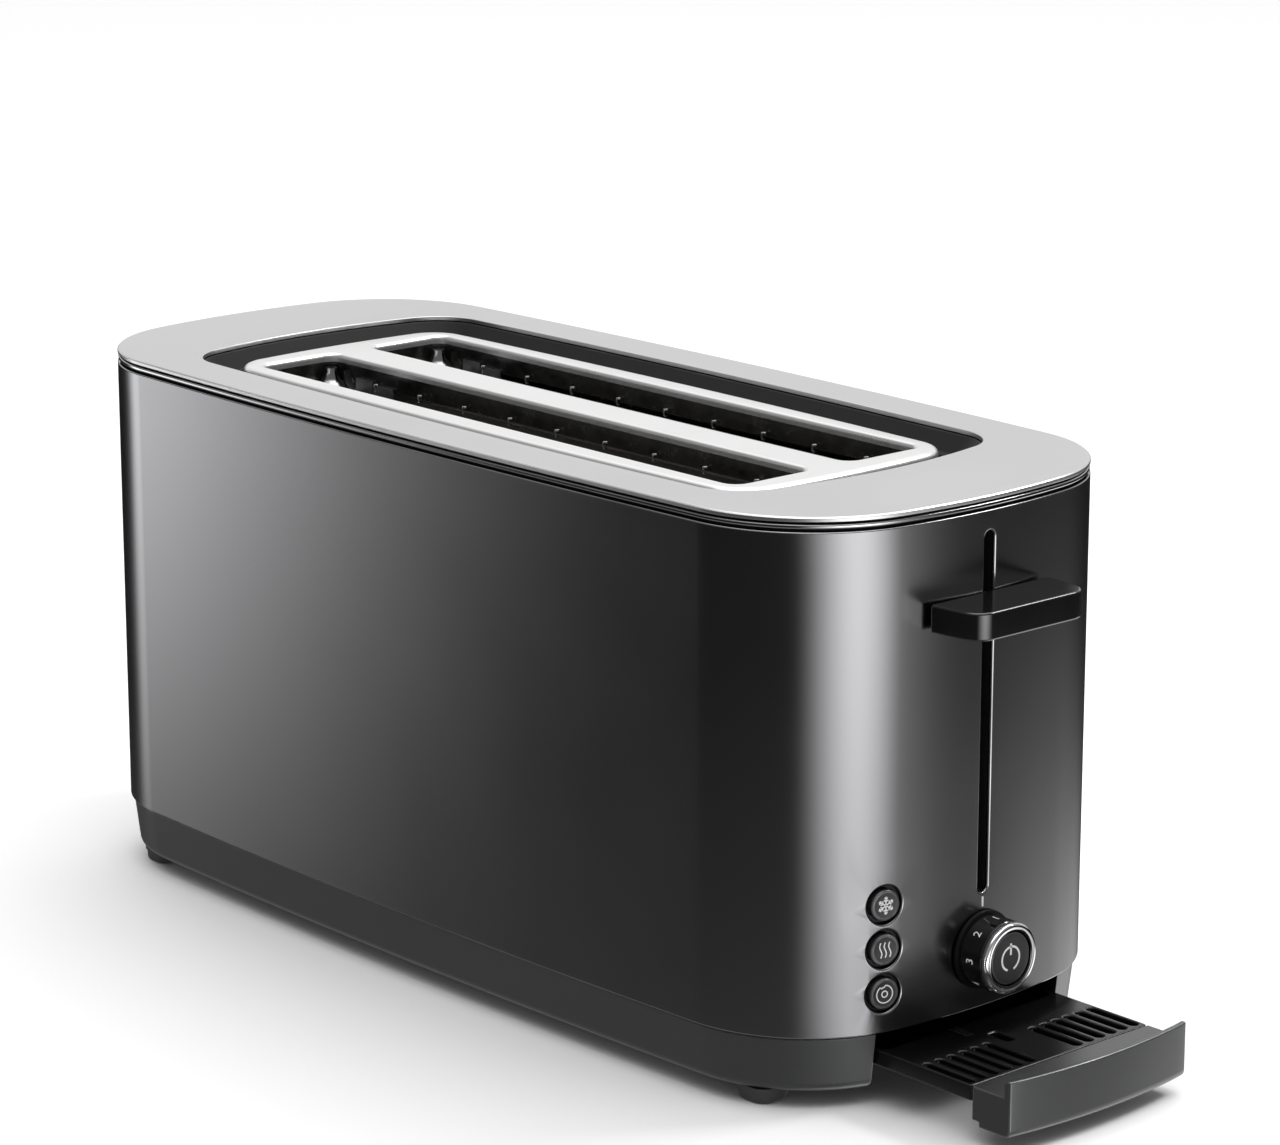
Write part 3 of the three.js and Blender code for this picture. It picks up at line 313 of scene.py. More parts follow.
def make(name, shape):
    """A new object with its normals facing outwards, its place in its mesh."""
    mesh = bpy.data.meshes.new(name)
    mesh.from_pydata([Vector(p) * MM for p in shape.points], [], [corners for corners, _, _ in shape.faces])
    # The per-face edge mark: rubbing wear together with a painted highlight on rounded edges.
    wear_and_shine = mesh.attributes.new("rim_highlight_and_wear", "FLOAT", "FACE")
    wear_and_shine.data.foreach_set("value", [w for _, w, _ in shape.faces])
    for index in range(1 + max(finish for _, _, finish in shape.faces)):
        mesh.materials.append(None)
    mesh.polygons.foreach_set("material_index", [finish for _, _, finish in shape.faces])
    tidy = bmesh.new()
    tidy.from_mesh(mesh)
    bmesh.ops.remove_doubles(tidy, verts=tidy.verts, dist=1e-6)
    bmesh.ops.recalc_face_normals(tidy, faces=tidy.faces)
    tidy.to_mesh(mesh)
    tidy.free()
    obj = bpy.data.objects.new(name, mesh)
    scene.collection.objects.link(obj)
    return obj


def settle(obj):
    """Turns what the modifiers make into the object's own plain mesh."""
    graph = bpy.context.evaluated_depsgraph_get()
    mesh = bpy.data.meshes.new_from_object(obj.evaluated_get(graph), depsgraph=graph)
    obj.modifiers.clear()
    obj.data = mesh
    return obj


def soften(obj, width, segments=2, angle=30):
    """Rounds the sharp edges by a width in millimetres, and marks the round faces for the lighter edge colour, which is
    wear and a painted highlight.
    """
    mesh = obj.data
    lit_and_worn = len(mesh.materials)
    mesh.materials.append(None)
    bevel = obj.modifiers.new("round", "BEVEL")
    bevel.width = width * MM
    bevel.segments = segments
    bevel.limit_method = "ANGLE"
    bevel.angle_limit = math.radians(angle)
    bevel.material = lit_and_worn
    settle(obj)
    mesh = obj.data
    index = [0] * len(mesh.polygons)
    mesh.polygons.foreach_get("material_index", index)
    wear_and_shine = mesh.attributes.get("rim_highlight_and_wear") or mesh.attributes.new("rim_highlight_and_wear", "FLOAT", "FACE")
    values = [0.0] * len(index)
    wear_and_shine.data.foreach_get("value", values)
    wear_and_shine.data.foreach_set("value", [1.0 if i == lit_and_worn else v for i, v in zip(index, values)])
    mesh.polygons.foreach_set("material_index", [0 if i == lit_and_worn else i for i in index])
    mesh.materials.pop()
    return obj


def smooth(obj, sharp=40):
    """Smooth shading, with crisp edges where faces meet sharply."""
    obj.data.shade_smooth()
    obj.data.set_sharp_from_angle(angle=math.radians(sharp))
    weighted = obj.modifiers.new("weighted", "WEIGHTED_NORMAL")
    weighted.keep_sharp = True
    weighted.weight = 80
    return settle(obj)


def place(obj, body, slot, *nodes, extra=()):
    """Gives a piece its finish and the body that it moves with, and hides the CAD nodes that it stands for."""
    materials = obj.data.materials
    for index, name in enumerate([slot, *extra]):
        if index < len(materials):
            materials[index] = FINISHES[name]
        else:
            materials.append(FINISHES[name])
    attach(obj, body)
    if nodes:
        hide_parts(*nodes)
    return obj


def finished_copy(node, name, width, body, slot, segments=2):
    """A copy of a CAD node with its flat faces made whole and its edges rounded."""
    copy = bpy.data.objects.new(name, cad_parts[node].data.copy())
    scene.collection.objects.link(copy)
    copy.data.materials.clear()
    copy.data.materials.append(None)
    tidy = bmesh.new()
    tidy.from_mesh(copy.data)
    bmesh.ops.remove_doubles(tidy, verts=tidy.verts, dist=1e-6)
    bmesh.ops.dissolve_limit(tidy, angle_limit=math.radians(1), verts=tidy.verts, edges=tidy.edges)
    tidy.to_mesh(copy.data)
    tidy.free()
    soften(copy, width, segments)
    smooth(copy)
    return place(copy, body, slot, node)


# ---------------------------------------------------------------- finishes
class Graph:
    """Short ways to build a material's or a modifier's nodes."""

    def __init__(self, tree):
        self.tree = tree

    def node(self, kind, inputs=None, **settings):
        made = self.tree.nodes.new(kind)
        for key, value in settings.items():
            setattr(made, key, value)
        for key, value in (inputs or {}).items():
            if isinstance(value, bpy.types.NodeSocket):
                self.tree.links.new(value, made.inputs[key])
            else:
                made.inputs[key].default_value = value
        return made


def finish(name, colour, roughness, metallic=0.0, mottle=0.1, mottle_size=24.0, grain_size=0.35,
           grain_stretch=(1, 1, 1), grain_depth=0.01, rough_spread=0.05, edge=0.25, edge_highlight=1.6,
           coat=0.0, specular=0.5):
    """A finish with drifting colour and roughness, fine grain in relief, and rounded edges painted lighter, partly as
    rubbing wear and partly as a painted highlight.
    """
    material = bpy.data.materials.new(name)
    material.use_nodes = True
    g = Graph(material.node_tree)
    g.tree.nodes.clear()
    where = g.node("ShaderNodeTexCoord").outputs["Object"]
    cloud = g.node("ShaderNodeTexNoise", {"Vector": where, "Scale": 1 / (mottle_size * MM), "Detail": 3.0})
    stretched = g.node("ShaderNodeMapping", {"Vector": where, "Scale": [s / (grain_size * MM) for s in grain_stretch]})
    grain = g.node("ShaderNodeTexNoise", {"Vector": stretched.outputs["Vector"], "Scale": 1.0, "Detail": 3.0})
    dark = [c * (1 - mottle) for c in colour] + [1]
    light = [c * (1 + mottle) for c in colour] + [1]
    spread = g.node("ShaderNodeMapRange", {"Value": cloud.outputs["Fac"], "From Min": 0.3, "From Max": 0.7})
    fine = g.node("ShaderNodeMapRange", {"Value": grain.outputs["Fac"], "From Min": 0.25, "From Max": 0.75})
    blend = g.node("ShaderNodeMath", {0: spread.outputs["Result"], 1: fine.outputs["Result"]}, operation="ADD")
    half = g.node("ShaderNodeMath", {0: blend.outputs["Value"], 1: 0.5}, operation="MULTIPLY")
    base = g.node("ShaderNodeMix", {"Factor": half.outputs["Value"], "A": dark, "B": light}, data_type="RGBA")
    # Rounded edges are painted lighter by the edge mark: rubbing wear together with a painted highlight.
    rubbed_and_lit = g.node("ShaderNodeAttribute", attribute_name="rim_highlight_and_wear")
    patchy = g.node("ShaderNodeMath", {0: rubbed_and_lit.outputs["Fac"], 1: spread.outputs["Result"]}, operation="MULTIPLY")
    lit_and_worn = g.node("ShaderNodeMath", {0: patchy.outputs["Value"], 1: edge}, operation="MULTIPLY")
    # The lighter edge colour: a painted highlight as well as rubbed metal.
    bright = [min(1.0, c * edge_highlight + 0.02) for c in colour] + [1]
    coloured = g.node(
        "ShaderNodeMix", {"Factor": lit_and_worn.outputs["Value"], "A": base.outputs["Result"], "B": bright}, data_type="RGBA")
    rough = g.node("ShaderNodeMapRange", {
        "Value": half.outputs["Value"], "To Min": max(0.02, roughness - rough_spread),
        "To Max": min(1.0, roughness + rough_spread)})
    polished = g.node("ShaderNodeMath", {0: lit_and_worn.outputs["Value"], 1: 0.15}, operation="MULTIPLY")
    rough_out = g.node(
        "ShaderNodeMath", {0: rough.outputs["Result"], 1: polished.outputs["Value"]}, operation="SUBTRACT")
    relief = g.node("ShaderNodeBump", {
        "Height": grain.outputs["Fac"], "Strength": 1.0, "Distance": grain_depth * MM})
    shader = g.node("ShaderNodeBsdfPrincipled", {
        "Base Color": coloured.outputs["Result"], "Roughness": rough_out.outputs["Value"],
        "Normal": relief.outputs["Normal"], "Metallic": metallic, "Coat Weight": coat,
        "Coat Roughness": 0.08, "Specular IOR Level": specular})
    out = g.node("ShaderNodeOutputMaterial", {"Surface": shader.outputs["BSDF"]})
    material.node_tree.nodes.active = out
    return material


# In each finish the edge settings say how much lighter its rounded edges are painted: rubbing wear together with a
# painted highlight.
FINISHES = {
    "painted_shell": finish("satin_charcoal", (0.19, 0.19, 0.195), 0.23, 1.0, mottle=0.04, mottle_size=60,
                            grain_size=0.3, grain_depth=0.0014, rough_spread=0.015, edge=0.6, edge_highlight=2.2),
    "brushed_plate": finish("satin_plate", (0.56, 0.56, 0.56), 0.34, 1.0, mottle=0.035, mottle_size=70,
                            grain_size=0.25, grain_stretch=(0.02, 1, 1), grain_depth=0.002, rough_spread=0.04,
                            edge=0.8, edge_highlight=1.4),
    "trim_metal": finish("dark_trim", (0.34, 0.34, 0.345), 0.14, 1.0, mottle=0.05, mottle_size=40,
                         grain_size=0.4, grain_depth=0.0012, rough_spread=0.03, edge=0.5, edge_highlight=1.6),
    "slot_steel": finish("pressed_bright_steel", (0.78, 0.78, 0.775), 0.30, 0.9, mottle=0.03, mottle_size=45,
                         grain_size=0.35, grain_depth=0.002, rough_spread=0.04, edge=0.5, edge_highlight=1.1),
    "sheet_steel": finish("zinc_sheet", (0.42, 0.43, 0.44), 0.34, 1.0, mottle=0.14, mottle_size=9,
                          grain_size=1.2, grain_depth=0.004, rough_spread=0.1, edge=0.4),
    "polished_wire": finish("bright_wire", (0.66, 0.66, 0.66), 0.22, 1.0, mottle=0.1, mottle_size=14,
                            grain_size=0.5, grain_depth=0.003, rough_spread=0.06),
    "spring_steel": finish("drawn_spring_wire", (0.48, 0.48, 0.49), 0.28, 1.0, mottle=0.08, mottle_size=8,
                           grain_size=0.3, grain_depth=0.003),
    "black_plastic": finish("black_moulding", (0.012, 0.012, 0.012), 0.42, mottle=0.12, mottle_size=30,
                            grain_size=0.45, grain_depth=0.008, rough_spread=0.06, edge=0.4, edge_highlight=2.5,
                            specular=0.28),
    "gloss_black": finish("gloss_black_moulding", (0.006, 0.006, 0.0065), 0.16, mottle=0.1, mottle_size=30,
                          grain_size=1.5, grain_depth=0.001, rough_spread=0.03, edge=0.5, edge_highlight=3.0,
                          coat=0.35, specular=0.5),
    "deck_black": finish("deck_black_moulding", (0.004, 0.004, 0.0045), 0.20, mottle=0.1, mottle_size=30,
                         grain_size=1.5, grain_depth=0.001, rough_spread=0.03, edge=0.5, edge_highlight=3.0,
                         specular=0.32),
    "base_grey": finish("dark_grey_moulding", (0.105, 0.106, 0.108), 0.34, 0.85, mottle=0.05, mottle_size=40,
                        grain_size=0.4, grain_depth=0.003, rough_spread=0.03, edge=0.7, edge_highlight=2.6),
    "foot_rubber": finish("foot_rubber", (0.060, 0.060, 0.062), 0.72, mottle=0.18, mottle_size=6,
                          grain_size=0.5, grain_depth=0.015, rough_spread=0.08, edge=0.5, edge_highlight=1.8,
                          specular=0.3),
    "mica": finish("mica_sheet", (0.13, 0.122, 0.105), 0.48, mottle=0.25, mottle_size=7,
                   grain_size=1.6, grain_depth=0.02, rough_spread=0.14, specular=0.3),
    "circuit_board": finish("green_board", (0.022, 0.105, 0.045), 0.38, mottle=0.2, mottle_size=5,
                            grain_size=0.6, grain_depth=0.01),
    "copper_winding": finish("enamelled_copper", (0.52, 0.20, 0.09), 0.3, 1.0, mottle=0.12, mottle_size=5,
                             grain_size=0.25, grain_stretch=(1, 1, 4), grain_depth=0.02),
    "bright_chrome": finish("bright_chrome", (0.88, 0.88, 0.89), 0.09, 1.0, mottle=0.03, mottle_size=8,
                            grain_size=0.4, grain_depth=0.0008, rough_spread=0.03, edge=0.3, edge_highlight=1.1),
    "button_grey": finish("satin_button", (0.034, 0.034, 0.035), 0.36, 0.3, mottle=0.08, mottle_size=6,
                          grain_size=0.3, grain_depth=0.003, rough_spread=0.04, edge=0.9, edge_highlight=5.0),
    "print_white": finish("white_print", (0.80, 0.80, 0.79), 0.5, mottle=0.04, mottle_size=3,
                          grain_size=0.2, grain_depth=0.002),
    "dark_web": finish("smoked_reflector", (0.10, 0.098, 0.095), 0.22, 0.9, mottle=0.55, mottle_size=9,
                       grain_size=2.5, grain_depth=0.03, rough_spread=0.1, edge=0.4, edge_highlight=2.5),
    "deep_black": finish("deep_black_moulding", (0.006, 0.006, 0.006), 0.5, mottle=0.12, mottle_size=20,
                         grain_size=0.45, grain_depth=0.006, rough_spread=0.06, edge=0.5, edge_highlight=4.0,
                         specular=0.16),
    "ribbon": finish("element_ribbon", (0.22, 0.19, 0.165), 0.35, 1.0, mottle=0.2, mottle_size=6,
                     grain_size=0.4, grain_depth=0.004),
}


# ---------------------------------------------------------------- outer shell
def on_shell(length, z, depth=0.0, plan=BODY):
    """A point on the wrapped shell, a depth below its face."""
    angle = plan.facing(length)
    x, y = plan.point(angle, depth)
    return x, y, z


def disc_loop(u, z, radius, grow=0.0, steps=40):
    return [(u + (radius + grow) * math.cos(TURN * k / steps), z + (radius + grow) * math.sin(TURN * k / steps))
            for k in range(steps)]


def slit_loop(half, low, high, grow=0.0, steps=12):
    return rounded_box(-half, half, low, high, half * 0.998, grow, steps)


BUTTON_NODES = ("bagel_button", "reheat_button", "defrost_button")
BUTTON_Y = -41.8
BUTTON_RADIUS = 5.25
HOLE_RADIUS = 6.6
BUTTON_HEIGHTS = [middle_mm(node).z for node in BUTTON_NODES]
BUTTON_FACING = BODY.end_facing(BUTTON_Y)
LINER_LOW, LINER_HIGH = box_mm("slit_liner")
SLIT = (2.25, LINER_LOW.z + 3, LINER_HIGH.z - 3)
WALL = 1.0


def outer_shell():
    """The painted sheet wrapped round the body, with rolled edges at its slit and button holes."""
    half_round = BODY.run(math.pi)
    lengths = sorted({round(BODY.run(a if a <= math.pi else a - TURN), 4) for a in BODY.angles((22, 26, 12))})
    lengths = [-half_round] + [u for u in lengths if abs(u) < half_round - 0.5] + [half_round]
    hem = 0.45
    low, high = SEAM + hem, SHELL_HIGH.z - hem
    levels = [low + (high - low) * i / 12 for i in range(13)]
    outline = [(u, low) for u in lengths] + [(half_round, z) for z in levels[1:-1]]
    outline += [(u, high) for u in reversed(lengths)] + [(-half_round, z) for z in reversed(levels[1:-1])]
    roll = 0.8
    button_u = BODY.run(BUTTON_FACING)
    makers = [lambda grow: slit_loop(*SLIT, grow)]
    makers += [lambda grow, z=z: disc_loop(button_u, z, HOLE_RADIUS, grow) for z in BUTTON_HEIGHTS]
    makers += [lambda grow: disc_loop(0, DIAL_Z, 4.0, grow)]
    clear = [maker(roll + 1.2) for maker in makers]
    spare = [(u, z) for u in lengths[1:-1] for z in levels[1:-1] if not any(inside((u, z), c) for c in clear)]
    flat, triangles, rows = pierced(outline, [maker(roll) for maker in makers], spare)
    shape = Shape()
    outer = shape.row(on_shell(u, z) for u, z in flat)
    inner = shape.row(on_shell(u, z, WALL) for u, z in flat)
    for a, b, c in triangles:
        shape.face([outer[a], outer[b], outer[c]])
        shape.face([inner[c], inner[b], inner[a]])
    for maker, row in zip(makers, rows[1:]):
        rings = [[outer[i] for i in row]]
        for grow, depth in rolled(roll)[1:]:
            rings.append(shape.row(on_shell(u, z, depth) for u, z in maker(grow)))
        rings.append(shape.row(on_shell(u, z, WALL) for u, z in maker(0.0)))
        rings.append([inner[i] for i in row])
        # The rolled rims round the slit and button holes take the lighter edge colour: a painted highlight, with some
        # wear.
        for k, (one, other) in enumerate(zip(rings, rings[1:])):
            shape.strip(one, other, True, wear_and_shine=1.0 if k < 4 else 0.0)
    count = len(lengths)
    edges = ((rows[0][:count], low, -1), (rows[0][count + len(levels) - 2:][:count], high, 1))
    for row, level, side in edges:
        rings = [[outer[i] for i in row]]
        for inward, rise in [(o, d) for d, o in rolled(hem)][1:]:
            rings.append(shape.row(on_shell(flat[i][0], level + side * (hem - inward), rise) for i in row))
        rings.append([inner[i] for i in row])
        # The rolled hems at top and bottom take the lighter edge colour too: a painted highlight, with some wear.
        for one, other in zip(rings, rings[1:]):
            shape.strip(one, other, False, wear_and_shine=1.0)
    return place(smooth(make("shell_skin", shape), 50), "housing", "painted_shell", "outer_shell")


outer_shell()


# ---------------------------------------------------------------- top
def lofted(name, stations, plan_angles, width, segments=2):
    """A closed ring through (plan, inset, height) stations, with its edges rounded."""
    shape = Shape()
    rows = []
    for plan, inset, z in stations:
        angles = plan.angles(plan_angles)
        rows.append(shape.row((*plan.point(a, inset), z) for a in angles))
    shape.tube(rows, closed_path=True)
    obj = make(name, shape)
    return smooth(soften(obj, width, segments))


TRIM_LOW, TRIM_HIGH = box_mm("trim_band")
PLATE_LOW = box_mm("top_plate")[0].z
COLLAR_LOW, COLLAR_HIGH = box_mm("slot_collar")

TRIM_GAP = 0.3
place(lofted("trim_band_ring", [
    (BODY, 0.3, TRIM_LOW.z + TRIM_GAP), (BODY, 0.3, TRIM_HIGH.z - TRIM_GAP), (BODY, 2.0, TRIM_HIGH.z - TRIM_GAP),
    (BODY, 2.0, TRIM_LOW.z + TRIM_GAP),
], (20, 24, 14), 0.55, 4), "housing", "trim_metal", "trim_band")

place(lofted("deck_plate", [
    (BODY, 0, PLATE_LOW), (BODY, 0, TOP - 0.5), (BODY, 0.5, TOP), (OPENING, -0.25, TOP), (OPENING, 0, TOP - 0.25),
    (OPENING, 0, PLATE_LOW),
], (20, 24, 14), 0.12), "housing", "brushed_plate", "top_plate")

place(lofted("collar_wall", [
    (OPENING, 5.3, COLLAR_LOW.z), (OPENING, -0.4, COLLAR_HIGH.z - 1.6), (OPENING, -0.4, COLLAR_HIGH.z),
    (OPENING, 0.8, COLLAR_HIGH.z), (OPENING, 6.5, COLLAR_LOW.z + 1.2), (OPENING, 9.5, COLLAR_LOW.z + 1.2),
    (OPENING, 9.5, COLLAR_LOW.z),
], (20, 16, 14), 0.35, 3), "housing", "deep_black", "slot_collar")

SLOT_X = (FRAME_LOW.x + 11.5, FRAME_HIGH.x - 11.5)
SLOT_Y = (8.5, FRAME_HIGH.y - 9.5)
LIP = FRAME_LOW.z
SKIN = 1.2
BRIGHT_LIP = 3.2


def slot_loop(side, grow):
    y = sorted((side * SLOT_Y[0], side * SLOT_Y[1]))
    return rounded_box(SLOT_X[0], SLOT_X[1], y[0], y[1], 5.0, grow, 8)


def slot_surround():
    """The pressed frame round the two slots: rolled outer edge, lips folded down into the slots."""
    top = FRAME_HIGH.z
    shape = Shape()
    angles = FRAME.angles((14, 12, 14))
    outer_roll, lip_roll = 2.4, 1.7
    outline = [FRAME.point(a, outer_roll) for a in angles]
    flat, triangles, rows = pierced(outline, [slot_loop(side, lip_roll) for side in (-1, 1)])
    face = shape.row((x, y, top) for x, y in flat)
    for triangle in triangles:
        shape.face([face[i] for i in triangle])
    under, lower, lower_rows = pierced(
        [FRAME.point(a, SKIN) for a in angles], [slot_loop(side, SKIN) for side in (-1, 1)])
    under_z = top - outer_roll
    under_face = shape.row((x, y, under_z) for x, y in under)
    for a, b, c in lower:
        shape.face([under_face[c], under_face[b], under_face[a]])
    rings = [[face[i] for i in rows[0]]]
    for inset, drop in rolled(outer_roll, 6)[1:]:
        rings.append(shape.row((*FRAME.point(a, inset), top - drop) for a in angles))
    rings.append(shape.row((*FRAME.point(a), LIP) for a in angles))
    rings.append(shape.row((*FRAME.point(a, SKIN), LIP) for a in angles))
    rings.append([under_face[i] for i in lower_rows[0]])
    for one, other in zip(rings, rings[1:]):
        shape.strip(one, other)
    for side, row, lower_row in ((-1, rows[1], lower_rows[1]), (1, rows[2], lower_rows[2])):
        rings = [[face[i] for i in row]]
        for grow, drop in rolled(lip_roll, 6)[1:]:
            rings.append(shape.row((x, y, top - drop) for x, y in slot_loop(side, grow)))
        rings.append(shape.row((x, y, top - BRIGHT_LIP) for x, y in slot_loop(side, 0)))
        bright = len(rings) - 1
        rings.append(shape.row((x, y, LIP + 0.6) for x, y in slot_loop(side, 0)))
        rings.append(shape.row((x, y, LIP) for x, y in slot_loop(side, 0.6)))
        rings.append(shape.row((x, y, LIP) for x, y in slot_loop(side, SKIN)))
        rings.append([under_face[i] for i in lower_row])
        for k, (one, other) in enumerate(zip(rings, rings[1:])):
            shape.strip(one, other, finish=1 if k >= bright else 0)
    obj = smooth(make("slot_surround", shape), 50)
    return place(obj, "housing", "slot_steel", "slot_frame", extra=("dark_web",))


slot_surround()


# ---------------------------------------------------------------- base
SKIRT_LOW, SKIRT_HIGH = box_mm("base_skirt")
FOOT_INSET = 3.1
SKIRT_WALL = 2.2
TRAY_HALF = 42.0
OPENING_HALF = TRAY_HALF + 1.2


def base_skirt():
    """The tapered skirt, open at the control end where the crumb tray slides out."""
    low, top = SKIRT_LOW.z, SKIRT_HIGH.z
    bottom_round = 3.5
    steps = 6
    profile = [
        (FOOT_INSET + bottom_round * (1 - math.sin(QUARTER * i / steps)),
         low + bottom_round * (1 - math.cos(QUARTER * i / steps)))
        for i in range(steps + 1)
    ]
    profile += [(1.35, top - 0.55), (1.55, top), (3.2, top), (FOOT_INSET + SKIRT_WALL, low + 2),
                (FOOT_INSET + 12, low + 2), (FOOT_INSET + 12, low)]
    shape = Shape()
    angles = BODY.angles((20, 28, 14)) + [TURN]
    first = BODY.end_facing(OPENING_HALF, FOOT_INSET + 12)
    middle = [a for a in sorted(angles) if first + 0.02 < a < TURN - first - 0.02]
    columns = []
    for inset, _ in profile:
        end = BODY.end_facing(OPENING_HALF, inset)
        columns.append([end] + middle + [TURN - end])
    rows = []
    for k in range(len(middle) + 2):
        rows.append(shape.row((*BODY.point(columns[s][k], inset), z) for s, (inset, z) in enumerate(profile)))
    shape.tube(rows)
    obj = smooth(soften(make("base_skirt_moulding", shape), 0.35, 3, 40))
    return place(obj, "housing", "base_grey", "base_skirt")


base_skirt()


def rubber_foot(index):
    """A square rubber foot with a stepped shoulder and a rounded sole."""
    low, high = box_mm(f"foot_{index}")
    x, y = (low.x + high.x) / 2, (low.y + high.y) / 2
    half = (high.x - low.x) / 2
    shape = Shape()
    rows = []
    steps = 5
    sole = 1.2
    for i in range(steps + 1):
        turn = QUARTER * i / steps
        rows.append((half - 0.6 - sole * (1 - math.sin(turn)), low.z + sole * (1 - math.cos(turn))))
    rows += [(half - 0.35, high.z - 1.5), (half, high.z - 1.35), (half, high.z)]
    shape.tube([
        shape.row((*p, z) for p in rounded_box(x - reach, x + reach, y - reach, y + reach, min(5.0, reach - 0.2)))
        for reach, z in rows
    ])
    return place(smooth(make(f"rubber_foot_{index}", shape), 45), "housing", "foot_rubber", f"foot_{index}")


for foot_index in range(1, 5):
    rubber_foot(foot_index)


# ---------------------------------------------------------------- lever
def lever_handle():
    """The gloss handle: a flat front, round front corners and soft edges."""
    low, high = box_mm("lever_handle")
    corner, taper, steps = 7.0, 1.5, 14
    half = high.y
    outline = [(low.x, -half)]
    for start, side in ((-QUARTER, -1), (0.0, 1)):
        for i in range(steps + 1):
            turn = start + QUARTER * i / steps
            outline.append((high.x - corner + corner * math.cos(turn),
                            side * (half - taper - corner) + corner * math.sin(turn)))
    outline.append((low.x, half))
    shape = Shape()
    shape.prism(outline, low.z, high.z)
    obj = smooth(soften(make("lever_grip", shape), 0.75, 4))
    return place(obj, "carriage", "gloss_black", "lever_handle")


lever_handle()
finished_copy("carriage_bracket", "carriage_sheet", 0.25, "carriage", "sheet_steel")


# ---------------------------------------------------------------- dial
DIAL_LOW, DIAL_HIGH = box_mm("dial_knob")
RING_LOW, RING_HIGH = box_mm("dial_ring")
DIAL_RADIUS = 12.2
CAP_RADIUS = 9.0
ESCUTCHEON_LOW, ESCUTCHEON_HIGH = box_mm("dial_escutcheon")
DIAL_FOOT = ESCUTCHEON_HIGH.x + 0.3
DIAL_SKIRT_TOP = RING_LOW.x - 0.3
DIAL_CENTRE = (0, 0, DIAL_Z)


def text_mesh(body, size, thickness):
    """Upright characters as a mesh, centred, in millimetres."""
    curve = bpy.data.curves.new("characters", "FONT")
    curve.body = body
    curve.size = size
    curve.align_x = "CENTER"
    curve.align_y = "CENTER"
    curve.extrude = thickness / 2
    curve.resolution_u = 4
    obj = bpy.data.objects.new("characters", curve)
    scene.collection.objects.link(obj)
    bpy.context.view_layer.update()
    graph = bpy.context.evaluated_depsgraph_get()
    mesh = bpy.data.meshes.new_from_object(obj.evaluated_get(graph))
    bpy.data.objects.remove(obj)
    bpy.data.curves.remove(curve)
    return mesh


def dial():
    """The turning skirt with its numerals, and the bright fluted ring at its front."""
    shape = Shape()
    edge = 0.5
    # The rounded rims of the skirt take the lighter edge colour: a painted highlight, with some wear.
    shape.lathe([
        (DIAL_LOW.x, 0), (DIAL_LOW.x, 3), (DIAL_FOOT, 3), (DIAL_FOOT, DIAL_RADIUS - edge),
        (DIAL_FOOT + 0.15, DIAL_RADIUS - 0.15), (DIAL_FOOT + edge, DIAL_RADIUS),
        (DIAL_SKIRT_TOP - 0.3, DIAL_RADIUS), (DIAL_SKIRT_TOP, DIAL_RADIUS - 0.3),
        (DIAL_SKIRT_TOP, CAP_RADIUS + 0.5), (DIAL_FOOT + 5, CAP_RADIUS + 0.5), (DIAL_FOOT + 5, 0),
    ], DIAL_CENTRE, sides=96, wear_and_shine=(4, 6))
    settings = 7
    height = 0.06
    for index in range(settings):
        turn = QUARTER / 2 * index
        out = Vector((0, -math.sin(turn), math.cos(turn)))
        right = Vector((0, math.cos(turn), math.sin(turn)))
        middle_x = DIAL_FOOT + 4.6
        numeral = text_mesh(str(index + 1), 4.3, 0.16)

        def on_skirt(co, out=out, right=right, middle_x=middle_x):
            around = co.x / DIAL_RADIUS
            reach = DIAL_RADIUS + height + co.z - 0.08
            spot = out * math.cos(around) * reach + right * math.sin(around) * reach
            return Vector((middle_x - co.y, spot.y, spot.z + DIAL_Z))

        shape.take(numeral, on_skirt, finish=1)
    obj = smooth(make("dial_skirt", shape), 35)
    place(obj, "dial", "gloss_black", "dial_knob", extra=("print_white",))


dial()


# ---------------------------------------------------------------- repeated parts, by geometry nodes
def new_tree(name, inputs):
    tree = bpy.data.node_groups.new(name, "GeometryNodeTree")
    tree.interface.new_socket("Geometry", in_out="INPUT", socket_type="NodeSocketGeometry")
    for label, kind in inputs:
        tree.interface.new_socket(label, in_out="INPUT", socket_type=kind)
    tree.interface.new_socket("Geometry", in_out="OUTPUT", socket_type="NodeSocketGeometry")
    return tree


def wire_row_tree():
    """Repeats a path of edges along a line, as round wires."""
    tree = new_tree("wire_row", [
        ("Copies", "NodeSocketInt"), ("Step", "NodeSocketVector"), ("Wire Radius", "NodeSocketFloat"),
        ("Wire Sides", "NodeSocketInt"), ("Finish", "NodeSocketMaterial")])
    g = Graph(tree)
    given = g.node("NodeGroupInput").outputs
    path = g.node("GeometryNodeMeshToCurve", {"Mesh": given["Geometry"]})
    section = g.node("GeometryNodeCurvePrimitiveCircle", {
        "Resolution": given["Wire Sides"], "Radius": given["Wire Radius"]})
    wire = g.node("GeometryNodeCurveToMesh", {
        "Curve": path.outputs["Curve"], "Profile Curve": section.outputs["Curve"], "Fill Caps": True})
    line = g.node("GeometryNodeMeshLine", {"Count": given["Copies"], "Offset": given["Step"]})
    copies = g.node("GeometryNodeInstanceOnPoints", {
        "Points": line.outputs["Mesh"], "Instance": wire.outputs["Mesh"]})
    whole = g.node("GeometryNodeRealizeInstances", {"Geometry": copies.outputs["Instances"]})
    coated = g.node("GeometryNodeSetMaterial", {
        "Geometry": whole.outputs["Geometry"], "Material": given["Finish"]})
    g.node("NodeGroupOutput", {"Geometry": coated.outputs["Geometry"]})
    return tree


